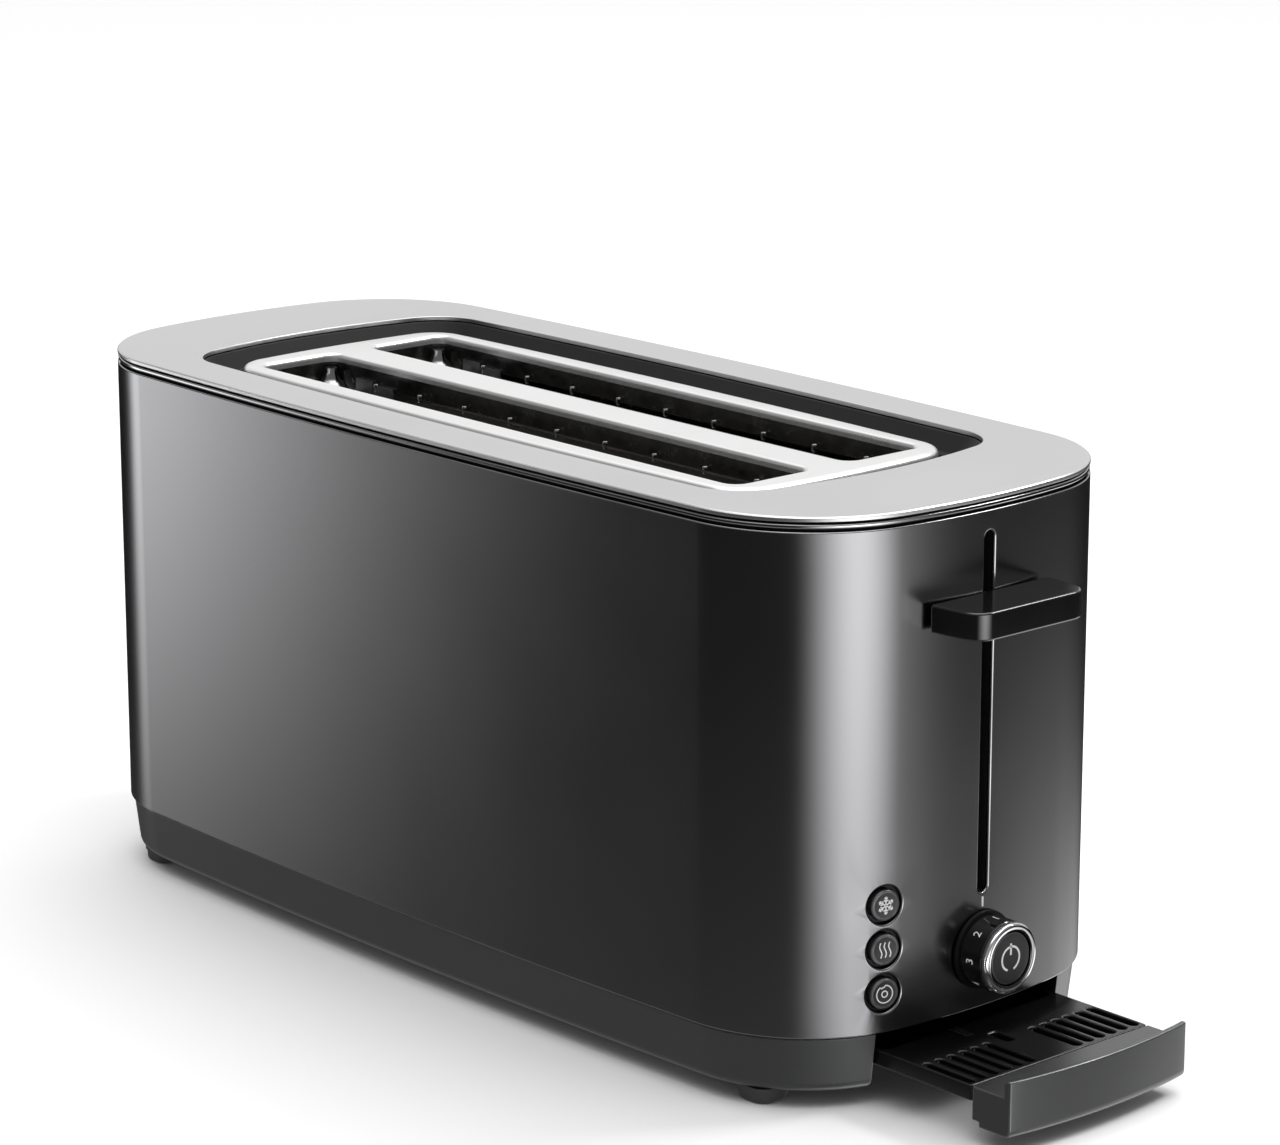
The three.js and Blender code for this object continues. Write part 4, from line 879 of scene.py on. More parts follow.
def turned_row_tree():
    """Repeats a part round the X axis through its own origin."""
    tree = new_tree("turned_row", [
        ("Copies", "NodeSocketInt"), ("Turn", "NodeSocketFloat"), ("Centre", "NodeSocketVector"),
        ("Finish", "NodeSocketMaterial")])
    g = Graph(tree)
    given = g.node("NodeGroupInput").outputs
    spots = g.node("GeometryNodePoints", {"Count": given["Copies"], "Position": given["Centre"]})
    index = g.node("GeometryNodeInputIndex").outputs["Index"]
    angle = g.node("ShaderNodeMath", {0: index, 1: given["Turn"]}, operation="MULTIPLY")
    turn = g.node("ShaderNodeCombineXYZ", {"X": angle.outputs["Value"]})
    copies = g.node("GeometryNodeInstanceOnPoints", {
        "Points": spots.outputs["Points"], "Instance": given["Geometry"], "Rotation": turn.outputs["Vector"]})
    whole = g.node("GeometryNodeRealizeInstances", {"Geometry": copies.outputs["Instances"]})
    coated = g.node("GeometryNodeSetMaterial", {
        "Geometry": whole.outputs["Geometry"], "Material": given["Finish"]})
    g.node("NodeGroupOutput", {"Geometry": coated.outputs["Geometry"]})
    return tree


def spotted_tree():
    """Puts a given part at every point of the object's own mesh."""
    tree = new_tree("part_at_points", [("Part", "NodeSocketObject"), ("Finish", "NodeSocketMaterial")])
    g = Graph(tree)
    given = g.node("NodeGroupInput").outputs
    part = g.node("GeometryNodeObjectInfo", {"Object": given["Part"]})
    copies = g.node("GeometryNodeInstanceOnPoints", {
        "Points": given["Geometry"], "Instance": part.outputs["Geometry"]})
    whole = g.node("GeometryNodeRealizeInstances", {"Geometry": copies.outputs["Instances"]})
    coated = g.node("GeometryNodeSetMaterial", {
        "Geometry": whole.outputs["Geometry"], "Material": given["Finish"]})
    g.node("NodeGroupOutput", {"Geometry": coated.outputs["Geometry"]})
    return tree


WIRE_ROW = wire_row_tree()
TURNED_ROW = turned_row_tree()
PART_AT_POINTS = spotted_tree()


def grown(obj, tree, **values):
    """Runs a tree on the object with its named inputs, and keeps the plain mesh."""
    modifier = obj.modifiers.new("grown", "NODES")
    modifier.node_group = tree
    names = {s.name: s.identifier for s in tree.interface.items_tree if s.in_out == "INPUT"}
    for label, value in values.items():
        modifier[names[label.replace("_", " ")]] = value
    return settle(obj)


def path_object(name, paths):
    """An object of bare edges along paths given in millimetres."""
    points, edges = [], []
    for path in paths:
        start = len(points)
        points += [Vector(p) * MM for p in path]
        edges += [(start + i, start + i + 1) for i in range(len(path) - 1)]
    mesh = bpy.data.meshes.new(name)
    mesh.from_pydata(points, edges, [])
    obj = bpy.data.objects.new(name, mesh)
    scene.collection.objects.link(obj)
    return obj


def joined(name, parts):
    """One object from several; each keeps its finish."""
    whole = bmesh.new()
    materials = []
    for part in parts:
        mesh = part.data
        start = len(whole.faces)
        whole.from_mesh(mesh)
        whole.faces.ensure_lookup_table()
        for face in whole.faces[start:]:
            own = mesh.materials[face.material_index] if mesh.materials else None
            if own not in materials:
                materials.append(own)
            face.material_index = materials.index(own)
        bpy.data.objects.remove(part)
    mesh = bpy.data.meshes.new(name)
    whole.to_mesh(mesh)
    whole.free()
    for own in materials:
        mesh.materials.append(own)
    obj = bpy.data.objects.new(name, mesh)
    scene.collection.objects.link(obj)
    return obj


def chrome_ring():
    """The bright ring round the cap, with fine flutes on its rim."""
    shape = Shape()
    x0, x1 = RING_LOW.x, RING_HIGH.x
    inner, outer = CAP_RADIUS + 0.5, DIAL_RADIUS
    sides = 96
    profile = [(x0, inner), (x0, outer - 0.35), (x0 + 0.2, outer - 0.22), (x1 - 1.0, outer - 0.22),
               (x1 - 0.55, outer - 0.32), (x1 - 0.2, outer - 0.6), (x1, outer - 1.15), (x1 - 0.05, inner + 0.5),
               (x1 - 0.35, inner)]
    rows = [shape.row((x, r * math.cos(TURN * k / sides), r * math.sin(TURN * k / sides) + DIAL_Z)
                      for k in range(sides)) for x, r in profile]
    for k, row in enumerate(rows):
        shape.strip(row, rows[(k + 1) % len(rows)], finish=1 if k > 6 else 0)
    ring = smooth(make("ring_body", shape), 40)
    ring.data.materials[0] = FINISHES["bright_chrome"]
    ring.data.materials[1] = FINISHES["gloss_black"]
    flute = Shape()
    flute.rod((x0 + 0.25, 0, outer - 0.3), (x1 - 0.85, 0, outer - 0.3), 0.28, 8)
    flutes = make("ring_flutes", flute)
    flutes = grown(flutes, TURNED_ROW, Copies=110, Turn=TURN / 110, Centre=Vector((0, 0, DIAL_Z)) * MM,
                   Finish=FINISHES["bright_chrome"])
    whole = smooth(joined("dial_bright_ring", [ring, flutes]), 50)
    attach(whole, "dial")
    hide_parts("dial_ring")


chrome_ring()


def stroke(shape, path, width, place_point, height, closed=False, finish=1):
    """A flat raised line of a width along a path drawn on a face."""
    path = [Vector(p) for p in path]
    left, right = [], []
    count = len(path)
    for i, p in enumerate(path):
        before = path[(i - 1) % count] if closed or i > 0 else p
        after = path[(i + 1) % count] if closed or i < count - 1 else p
        along = (after - before).normalized()
        across = Vector((-along.y, along.x)) * width / 2
        left.append(p + across)
        right.append(p - across)
    rows = []
    for l, r in zip(left, right):
        rows.append(shape.row([
            place_point(l.x, l.y, 0), place_point(l.x, l.y, height),
            place_point(r.x, r.y, height), place_point(r.x, r.y, 0)]))
    shape.tube(rows, closed_path=closed, finish=finish)


def arc(radius, start, end, steps=20, centre=(0, 0)):
    return [(centre[0] + radius * math.cos(math.radians(start + (end - start) * i / steps)),
             centre[1] + radius * math.sin(math.radians(start + (end - start) * i / steps)))
            for i in range(steps + 1)]


def bagel_lines():
    """A bagel: an outer edge with a bite, a few crumbs and the hole."""
    outer = arc(3.0, -235, 85, 40)
    bite = [(0.26, 3.0), (-0.1, 2.4), (-0.75, 2.35), (-1.05, 2.0), (-1.72, 2.46)]
    return [(outer, False), (bite, False), (arc(1.05, 0, 345, 23), True)]


def heat_lines():
    """Three rising waves."""
    waves = []
    for x in (-1.7, 0.0, 1.7):
        wave = [(x + 0.42 * math.sin(TURN * t / 20), -2.6 + 5.2 * t / 20) for t in range(21)]
        waves.append((wave, False))
    return waves


def snow_lines():
    """A six-armed snow crystal."""
    lines = []
    for k in range(6):
        turn = math.radians(30 + 60 * k)
        tip = Vector((math.cos(turn), math.sin(turn)))
        lines.append(([tip * 0.25, tip * 3.05], False))
        for side in (-1, 1):
            branch = Vector((math.cos(turn + side * 0.9), math.sin(turn + side * 0.9)))
            lines.append(([tip * 1.3, tip * 1.3 + branch * 1.0], False))
            lines.append(([tip * 2.2, tip * 2.2 + branch * 0.75], False))
    return lines


def push_button(node, lines):
    """A round cap with a soft edge, a dished face and a printed mark, and its flange and stem."""
    low, high = box_mm(node)
    z = (low.z + high.z) / 2
    facing = BUTTON_FACING
    foot_x, foot_y = BODY.point(facing)
    out = Vector((math.cos(facing), math.sin(facing), 0))
    right = Vector((-math.sin(facing), math.cos(facing), 0))
    origin = Vector((foot_x, foot_y, z))
    proud, back, flange_back, stem_back = 0.6, -4.0, -5.2, -8.0

    def at(depth, across, up):
        return origin + out * depth + right * across + Vector((0, 0, up))

    shape = Shape()
    sides = 64
    profile = [(stem_back, 1.5), (flange_back, 1.5), (flange_back, 6.85), (back, 6.85), (back, BUTTON_RADIUS),
               (proud - 0.6, BUTTON_RADIUS), (proud - 0.3, BUTTON_RADIUS - 0.08), (proud - 0.09, BUTTON_RADIUS - 0.3),
               (proud, BUTTON_RADIUS - 0.62), (proud - 0.03, BUTTON_RADIUS - 0.95), (proud - 0.14, 3.6),
               (proud - 0.16, 0.4)]
    rows = [shape.row(at(d, r * math.cos(TURN * k / sides), r * math.sin(TURN * k / sides)) for k in range(sides))
            for d, r in profile]
    # The cap's rounded rim takes the lighter edge colour: a painted highlight, with some wear.
    for i, (one, other) in enumerate(zip(rows, rows[1:])):
        shape.strip(one, other, wear_and_shine=1.0 if i in (5, 6, 7, 8) else 0.0)
    shape.face(rows[0])
    shape.face(rows[-1])
    for path, closed in lines:
        stroke(shape, path, 0.42, lambda a, b, h: at(proud - 0.22 + h, a, b), 0.14, closed)
    obj = smooth(make(node.replace("_button", "_push_button"), shape), 40)
    place(obj, node, "button_grey", node, extra=("print_white",))


for button_node, button_lines in zip(BUTTON_NODES, (bagel_lines(), heat_lines(), snow_lines())):
    push_button(button_node, button_lines)


def cancel_cap():
    """The cap in the middle of the dial, which stops the toasting, with a plain stop mark."""
    low, high = box_mm("cancel_button")
    shape = Shape()
    front = high.x
    # The cap's rounded rim takes the lighter edge colour: a painted highlight, with some wear.
    shape.lathe([
        (low.x, 0), (low.x, 1.5), (front - 5.6, 1.5), (front - 5.6, CAP_RADIUS - 0.3), (front - 5.3, CAP_RADIUS),
        (front - 0.5, CAP_RADIUS), (front - 0.15, CAP_RADIUS - 0.15), (front, CAP_RADIUS - 0.5), (front, 6.5), (front, 0),
    ], DIAL_CENTRE, sides=80, wear_and_shine=(5, 6))

    def on_cap(a, b, h):
        return front - 0.06 + h, a, DIAL_Z + b

    stroke(shape, arc(4.1, -70, 250, 40), 0.75, on_cap, 0.12)
    stroke(shape, [(0, 1.2), (0, 5.2)], 0.8, on_cap, 0.12)
    obj = smooth(make("cancel_cap", shape), 40)
    place(obj, "cancel_button", "button_grey", "cancel_button", extra=("print_white",))


cancel_cap()


def escutcheon():
    """The disc that the dial turns on, with a rounded rim, and the pointer mark above it."""
    shape = Shape()
    x0, x1 = ESCUTCHEON_LOW.x, ESCUTCHEON_HIGH.x
    radius, bore, sides = 13.4, 3.5, 80
    profile = [(x0, bore), (x0, radius), (x1 - 0.5, radius), (x1 - 0.15, radius - 0.15), (x1, radius - 0.5),
               (x1, bore)]
    rows = [shape.row((x, r * math.cos(TURN * k / sides), r * math.sin(TURN * k / sides) + DIAL_Z)
                      for k in range(sides)) for x, r in profile]
    shape.tube(rows, closed_path=True)
    mark_low, mark_high = SEAM + 35.1, SEAM + 38.5
    rows = []
    for y in (-0.4, 0.4):
        x = BODY.bow_x(y)
        rows.append(shape.row([(x - 0.02, y, mark_low), (x + 0.05, y, mark_low), (x + 0.05, y, mark_high),
                               (x - 0.02, y, mark_high)]))
    shape.tube(rows, finish=1)
    obj = smooth(make("dial_seat", shape), 40)
    # The seat is deep black: its own colour, and also painted shade where the dial meets the shell.
    place(obj, "housing", "deep_black", "dial_escutcheon", extra=("print_white",))


escutcheon()


# ---------------------------------------------------------------- crumb tray
PANEL_LOW, PANEL_HIGH = box_mm("tray_panel")
PAN_LOW, PAN_HIGH = box_mm("tray_pan")
PANEL_INSET = 2.5
PANEL_THICKNESS = 2.8
DECK_Z = PAN_HIGH.z
PANEL_BACK = PANEL_LOW.x


def tray_front():
    """The curved front that completes the base: a raised lip, a ledge behind it and a cheek each side."""
    shape = Shape()
    count = 40
    rows = []
    chin = 1.1
    for i in range(count + 1):
        y = -TRAY_HALF + 2 * TRAY_HALF * i / count
        low, high = PANEL_LOW.z, PANEL_HIGH.z

        def bow(inset, y=y):
            return TRAY_FRONT.bow_x(y, inset)

        rows.append(shape.row([
            (bow(PANEL_INSET + 2.0), y, low), (bow(PANEL_INSET + 1.2), y, low + 0.25),
            (bow(PANEL_INSET + 0.45), y, low + 0.8), (bow(PANEL_INSET + 0.1), y, low + chin + 0.6),
            (bow(PANEL_INSET), y, low + 2.8), (bow(PANEL_INSET), y, high),
            (bow(PANEL_INSET + 1.9), y, high), (bow(PANEL_INSET + PANEL_THICKNESS), y, high - 1.2),
            (bow(PANEL_INSET + PANEL_THICKNESS), y, DECK_Z), (PANEL_BACK, y, DECK_Z), (PANEL_BACK, y, low + 1.8),
            (PANEL_BACK + 3.0, y, low + 1.8), (PANEL_BACK + 3.0, y, low),
        ]))
    shape.tube(rows)
    obj = make("tray_front_panel", shape)
    hollow = Shape()
    hollow.block((PANEL_BACK - 2, -TRAY_HALF + 3, PANEL_LOW.z - 2),
                 (TRAY_FRONT.bow_x(TRAY_HALF - 3, PANEL_INSET + PANEL_THICKNESS), TRAY_HALF - 3, DECK_Z - 6))
    cutter = make("hollow_tool", hollow)
    cut = obj.modifiers.new("hollow", "BOOLEAN")
    cut.object = cutter
    cut.operation = "DIFFERENCE"
    cut.solver = "EXACT"
    settle(obj)
    bpy.data.objects.remove(cutter)
    soften(obj, 0.6, 3, 35)
    place(smooth(obj, 40), "crumb_tray", "base_grey", "tray_panel")


tray_front()

SLOT_LENGTH, SLOT_WIDTH, SLOT_PITCH, FIRST_SLOT = 22.0, 3.2, 5.6, 11.0
SLOT_ENDS = (PAN_HIGH.x - 2 - SLOT_LENGTH, PAN_HIGH.x - 2)
GRIP_X = SLOT_ENDS[0] - 16


def tray_pan():
    """The sliding pan: a slotted deck in front, a finger slot behind it, and the tub that catches crumbs."""
    edge, slot_edge = 0.5, 0.85
    wall = 1.2

    def deck_slot(y):
        return lambda grow: rounded_box(*SLOT_ENDS, y - SLOT_WIDTH / 2, y + SLOT_WIDTH / 2, SLOT_WIDTH * 0.498, grow, 6)

    slots = [deck_slot(side * (FIRST_SLOT + k * SLOT_PITCH)) for side in (-1, 1) for k in range(6)]
    slots.append(lambda grow: rounded_box(SLOT_ENDS[0] - 5.0, SLOT_ENDS[0] + 4.0, -4.2, -0.4, 0.8, grow, 6))
    tub = (PAN_LOW.x + wall, GRIP_X - wall, -TRAY_HALF + wall, TRAY_HALF - wall)
    slots.append(lambda grow: rounded_box(*tub, 4.0, grow, 6))
    bounds = (PAN_LOW.x, PAN_HIGH.x, -TRAY_HALF, TRAY_HALF)
    depths = [DECK_Z - PAN_LOW.z] * (len(slots) - 1) + [DECK_Z - PAN_LOW.z - wall]
    flat, triangles, rows = pierced(rounded_box(*bounds, 1.2, -edge, 4), [slot(slot_edge) for slot in slots])
    shape = Shape()
    top = shape.row((x, y, DECK_Z) for x, y in flat)
    for triangle in triangles:
        shape.face([top[i] for i in triangle])
    low, low_triangles, low_rows = pierced(rounded_box(*bounds, 1.2, -edge, 4), [slot(0.0) for slot in slots[:-1]])
    bottom = shape.row((x, y, PAN_LOW.z) for x, y in low)
    for a, b, c in low_triangles:
        shape.face([bottom[c], bottom[b], bottom[a]])
    rings = [[top[i] for i in rows[0]]]
    for grow, drop in rolled(edge, 3)[1:]:
        rings.append(shape.row((x, y, DECK_Z - drop) for x, y in rounded_box(*bounds, 1.2, -grow, 4)))
    rings.append(shape.row((x, y, PAN_LOW.z + edge) for x, y in rounded_box(*bounds, 1.2, 0.0, 4)))
    rings.append([bottom[i] for i in low_rows[0]])
    # The rolled deck edge takes the lighter edge colour: a painted highlight, with some wear.
    for k, (one, other) in enumerate(zip(rings, rings[1:])):
        shape.strip(one, other, True, wear_and_shine=1.0 if k < 3 else 0.0)
    for number, slot in enumerate(slots):
        rings = [[top[i] for i in rows[number + 1]]]
        for grow, drop in rolled(slot_edge, 4)[1:]:
            rings.append(shape.row((x, y, DECK_Z - drop) for x, y in slot(grow)))
        if number < len(slots) - 1:
            rings.append([bottom[i] for i in low_rows[number + 1]])
        else:
            floor = PAN_LOW.z + wall
            rings.append(shape.row((x, y, floor + 1.0) for x, y in slot(0.0)))
            rings.append(shape.row((x, y, floor + 0.3) for x, y in slot(-0.3)))
            rings.append(shape.row((x, y, floor) for x, y in slot(-1.0)))
            shape.face(rings[-1])
        # The rolled slot edges take the lighter edge colour: a painted highlight, with some wear.
        for k, (one, other) in enumerate(zip(rings, rings[1:])):
            shape.strip(one, other, True, wear_and_shine=1.0 if k < 3 else 0.0)
    place(smooth(make("tray_deck_and_pan", shape), 50), "crumb_tray", "deck_black", "tray_pan")


tray_pan()


def tray_catch():
    """A small folded spring catch on the deck, beside the finger slot, and its rivets."""
    shape = Shape()
    x, y, z = SLOT_ENDS[0] - 12.0, -10.0, DECK_Z
    shape.prism(rounded_box(x - 4.6, x + 4.6, y - 1.9, y + 1.9, 0.6), z - 0.05, z + 0.3, finish=1)
    for k in range(3):
        across = y - 1.4 + 1.4 * k
        shape.rod((x - 4.0, across, z + 0.3), (x + 4.0, across, z + 0.3), 0.22, 8)
    place(smooth(make("tray_catch", shape), 40), "crumb_tray", "polished_wire", extra=("deck_black",))


tray_catch()


# ---------------------------------------------------------------- inside the slots
GUIDE_NODES = ("guide_near_outer", "guide_near_inner", "guide_far_inner", "guide_far_outer")
WIRE_RADIUS = 0.8
GUIDE_COUNT = 10


def wire_guide(node, body):
    """A cage of upright wires between two rails; each wire ends in a small hook towards the bread."""
    low, high = box_mm(node)
    y = (low.y + high.y) / 2
    foot, head = low.z + WIRE_RADIUS, high.z - WIRE_RADIUS
    x0, x1 = SLOT_X[0] + 4 + WIRE_RADIUS, SLOT_X[1] - 4 - WIRE_RADIUS
    centre = math.copysign((SLOT_Y[0] + SLOT_Y[1]) / 2, y)
    inward = math.copysign(1.0, centre - y)
    chrome = FINISHES["polished_wire"]
    upright = [(x0, y, foot), (x0, y, head - 1.0), (x0, y + inward * 0.35, head - 0.35),
               (x0, y + inward * 1.0, head), (x0, y + inward * 1.9, head - 0.25), (x0, y + inward * 2.3, head - 1.2)]
    step = Vector(((x1 - x0) / (GUIDE_COUNT - 1), 0, 0)) * MM
    wires = grown(path_object("uprights", [upright]), WIRE_ROW, Copies=GUIDE_COUNT, Step=step,
                  Wire_Radius=WIRE_RADIUS * MM * 0.85, Wire_Sides=10, Finish=chrome)
    rails = [[(low.x, y, foot), (high.x, y, foot)], [(x0 - 0.8, y, head - 2.2), (x1 + 0.8, y, head - 2.2)],
             [(x0, y, foot + 42), (x1, y, foot + 42)]]
    rods = grown(path_object("rails", rails), WIRE_ROW, Copies=1, Step=Vector((0, 0, 0)),
                 Wire_Radius=WIRE_RADIUS * MM * 0.9, Wire_Sides=12, Finish=chrome)
    cage = smooth(joined(node + "_wires", [wires, rods]), 50)
    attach(cage, body)
    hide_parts(node)


for guide_node in GUIDE_NODES:
    wire_guide(guide_node, guide_node)

for rack_node in ("bread_rack_near", "bread_rack_far"):
    finished_copy(rack_node, rack_node.replace("bread_rack", "bread_carrier"), 0.25, "carriage", "sheet_steel")


BOARD_NODES = ("heater_board_near", "heater_board_centre", "heater_board_far")


def element_ribbon(node):
    """Flat heating ribbon wound up and down over a mica board."""
    low, high = box_mm(node)
    turns = 26
    pitch = (high.x - low.x - 24) / turns
    x0 = low.x + 12
    y0, y1 = low.y - 0.35, high.y + 0.35
    z0, z1 = low.z + 6, high.z - 9
    loop = [(x0, y0, z1), (x0, y0, z0), (x0 + pitch * 0.25, y0, z0 - 0.5), (x0 + pitch * 0.25, y1, z0 - 0.5),
            (x0 + pitch * 0.5, y1, z0), (x0 + pitch * 0.5, y1, z1), (x0 + pitch * 0.75, y1, z1 + 0.5),
            (x0 + pitch * 0.75, y0, z1 + 0.5), (x0 + pitch, y0, z1)]
    wound = grown(path_object("winding", [loop]), WIRE_ROW, Copies=turns, Step=Vector((pitch, 0, 0)) * MM,
                  Wire_Radius=0.33 * MM, Wire_Sides=6, Finish=FINISHES["ribbon"])
    wound.name = node.replace("heater_board", "element_ribbon")
    wound = smooth(wound, 60)
    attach(wound, "housing")


for board_node in BOARD_NODES:
    element_ribbon(board_node)


FLARE_REACH = 4.4
FLARE_HIGH, FLARE_LOW = FRAME_HIGH.z - 4.6, LIP - 2.5


def slot_end_flare(side):
    """Bright bells in the far corners of a slot, which turn the bread past the lip, and a dark leaf beside each."""
    shape = Shape()
    steps = 10
    bell = [(FLARE_HIGH, 0)]
    for i in range(steps + 1):
        t = i / steps
        bell.append((FLARE_HIGH + (FLARE_LOW - FLARE_HIGH) * t, 2.4 + 1.4 * t + 5.2 * t**4))
    bell.append((FLARE_LOW, 0))
    leaf = [(0.0, 0.0), (0.5, -2.4), (1.6, -4.6), (3.4, -6.2), (6.0, -7.2)]
    for wall in SLOT_Y:
        toward = 1 if wall == SLOT_Y[0] else -1
        y = side * (wall + toward * FLARE_REACH)
        shape.lathe(bell, (SLOT_X[0] + FLARE_REACH, y, 0), "z", 32)
        rows = []
        for x, z in leaf:
            x, z = SLOT_X[0] + 10.5 + x, FLARE_HIGH - 0.5 + z
            near, far = side * (wall + toward * 0.25), side * (wall + toward * 3.4)
            rows.append(shape.row([(x, near, z), (x + 0.4, near, z + 0.25), (x + 0.4, far, z + 0.25), (x, far, z)]))
        shape.tube(rows, finish=1)
        near, far = sorted((side * (wall + toward * 0.3), side * (wall + toward * 1.0)))
        for start, end, rise in ((15.0, 25.0, 2.6), (25.6, 37.0, 1.4)):
            low = (SLOT_X[0] + start, near, LIP - 2.4)
            shape.block(low, (SLOT_X[0] + end, far, LIP + rise), finish=2)
    name = "slot_end_flare_near" if side < 0 else "slot_end_flare_far"
    place(smooth(make(name, shape), 50), "housing", "trim_metal", extra=("dark_web", "sheet_steel"))


def wall_hooks():
    """Small wire hooks at an even pitch along the walls of both slots."""
    pitch, count = 26.0, 10
    first = SLOT_X[0] + 27.0
    paths = []
    for side in (-1, 1):
        for wall in SLOT_Y:
            toward = side * (1 if wall == SLOT_Y[0] else -1)
            y = side * wall
            foot, head = LIP - 0.8, LIP + 1.9
            paths.append([(first, y + toward * 0.3, foot), (first, y + toward * 1.2, foot + 0.3),
                          (first, y + toward * 1.5, foot + 0.9), (first, y + toward * 1.5, head - 0.5),
                          (first + 0.3, y + toward * 1.4, head - 0.1), (first + 1.6, y + toward * 1.0, head)])
    hooks = grown(path_object("hooks", paths), WIRE_ROW, Copies=count, Step=Vector((pitch, 0, 0)) * MM,
                  Wire_Radius=0.45 * MM, Wire_Sides=8, Finish=FINISHES["polished_wire"])
    hooks.name = "slot_wall_hooks"
    hooks = smooth(hooks, 60)
    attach(hooks, "housing")


for slot_side in (-1, 1):
    slot_end_flare(slot_side)

wall_hooks()


# ---------------------------------------------------------------- spring, magnet and boards
def lift_spring():
    """The compression spring round the guide rod, its end turns flat."""
    low, high = box_mm("lift_spring")
    centre = middle_mm("guide_rod")
    wire, turns, radius, per_turn = 0.5, 13, 4.4, 28
    z0, z1 = low.z + wire, high.z - wire
    path = []
    total = turns * per_turn
    for i in range(total + 1):
        turn = TURN * i / per_turn
        done = i / total
        eased = min(max((done * turns - 0.9) / (turns - 1.8), 0.0), 1.0)
        path.append((centre.x + radius * math.cos(turn), centre.y + radius * math.sin(turn), z0 + (z1 - z0) * eased))
    shape = Shape()
    shape.wire(path, wire, 8)
    spring = place(smooth(make("return_spring", shape), 60), "housing", "spring_steel", "lift_spring")
    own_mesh(spring)


lift_spring()


def coil_winding():
    """Turns of enamelled wire between the bobbin's flanges."""
    low, high = box_mm("magnet_coil")
    centre = middle_mm("magnet_coil")
    radius = 6.75
    ring = [(centre.x + radius * math.cos(TURN * k / 32), centre.y + radius * math.sin(TURN * k / 32), low.z + 1.7)
            for k in range(33)]
    turns = int((high.z - low.z - 3.2) / 0.62)
    wound = grown(path_object("winding", [ring]), WIRE_ROW, Copies=turns, Step=Vector((0, 0, 0.62)) * MM,
                  Wire_Radius=0.3 * MM, Wire_Sides=6, Finish=FINISHES["copper_winding"])
    wound.name = "magnet_winding"
    wound = smooth(wound, 60)
    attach(wound, "housing")


coil_winding()


def board_parts():
    """Capacitors, a relay and resistors on the control board."""
    low, high = box_mm("control_board")
    face = low.x
    shape = Shape()
    shape.block((face - 10.5, low.y + 4, low.z + 8), (face - 0.1, low.y + 20, low.z + 26))
    for y, z, r, reach in ((12, 40, 4.2, 10.5), (24, 40, 3.2, 9), (31, 30, 2.6, 7), (10, 58, 3.6, 10)):
        shape.lathe([(face - 0.1, 0), (face - 0.1, r), (face - reach + 0.5, r), (face - reach, r - 0.5),
                     (face - reach, 0)], (0, low.y + y, low.z + z), sides=24)
    for k in range(6):
        z = low.z + 50 + 3.4 * k
        shape.rod((face - 1.6, low.y + 22, z), (face - 1.6, low.y + 28, z), 1.0, 12)
    place(smooth(make("control_board_parts", shape), 40), "housing", "black_plastic")


board_parts()


def cord_bush():
    """The ribbed bush in the rear of the base, open where the mains cord would enter."""
    low, high = box_mm("cord_gland")
    centre = (0, 0, middle_mm("cord_gland").z)
    shape = Shape()
    bore, sides = 3.4, 48
    profile = [(low.x, bore), (low.x - 0.0, 4.4), (low.x + 0.5, 5.0)]
    for k in range(3):
        x = low.x + 1.3 + 1.2 * k
        profile += [(x, 5.0), (x + 0.2, 4.6), (x + 0.6, 4.6), (x + 0.8, 5.0)]
    profile += [(high.x - 8.0, 5.0), (high.x - 8.0, 6.6), (high.x - 6.0, 6.6), (high.x - 6.0, 5.0), (high.x, 5.0),
                (high.x, bore)]
    rows = [shape.row((x, r * math.cos(TURN * k / sides), r * math.sin(TURN * k / sides) + centre[2])
                      for k in range(sides)) for x, r in profile]
    shape.tube(rows, closed_path=True)
    place(smooth(make("cord_bush", shape), 35), "housing", "black_plastic", "cord_gland")


cord_bush()


def fixings():
    """Pan heads with a cross recess on the underside and on the chassis plates."""
    head = Shape()
    head.lathe([(-1.4, 0), (-1.4, 1.6), (-1.15, 2.4), (-0.7, 2.85), (-0.2, 3.0), (0, 3.0), (0, 0)], (0, 0, 0), "z", 32)
    head.block((-1.9, -0.35, -1.46), (1.9, 0.35, -1.3), finish=1)
    head.block((-0.35, -1.9, -1.46), (0.35, 1.9, -1.3), finish=1)
    part = make("pan_head", head)
    smooth(part, 40)
    names = [f"pan_screw_{k}" for k in range(1, 5)]
    spots = []
    for name in names:
        low, high = box_mm(name)
        spots.append(((low.x + high.x) / 2, (low.y + high.y) / 2, low.z + 1.4))
    mesh = bpy.data.meshes.new("spots")
    mesh.from_pydata([Vector(p) * MM for p in spots], [], [])
    obj = bpy.data.objects.new("base_fixings", mesh)
    scene.collection.objects.link(obj)
    obj = grown(obj, PART_AT_POINTS, Part=part, Finish=FINISHES["sheet_steel"])
    bpy.data.objects.remove(part)
    place(smooth(obj, 40), "housing", "sheet_steel", *names)


fixings()


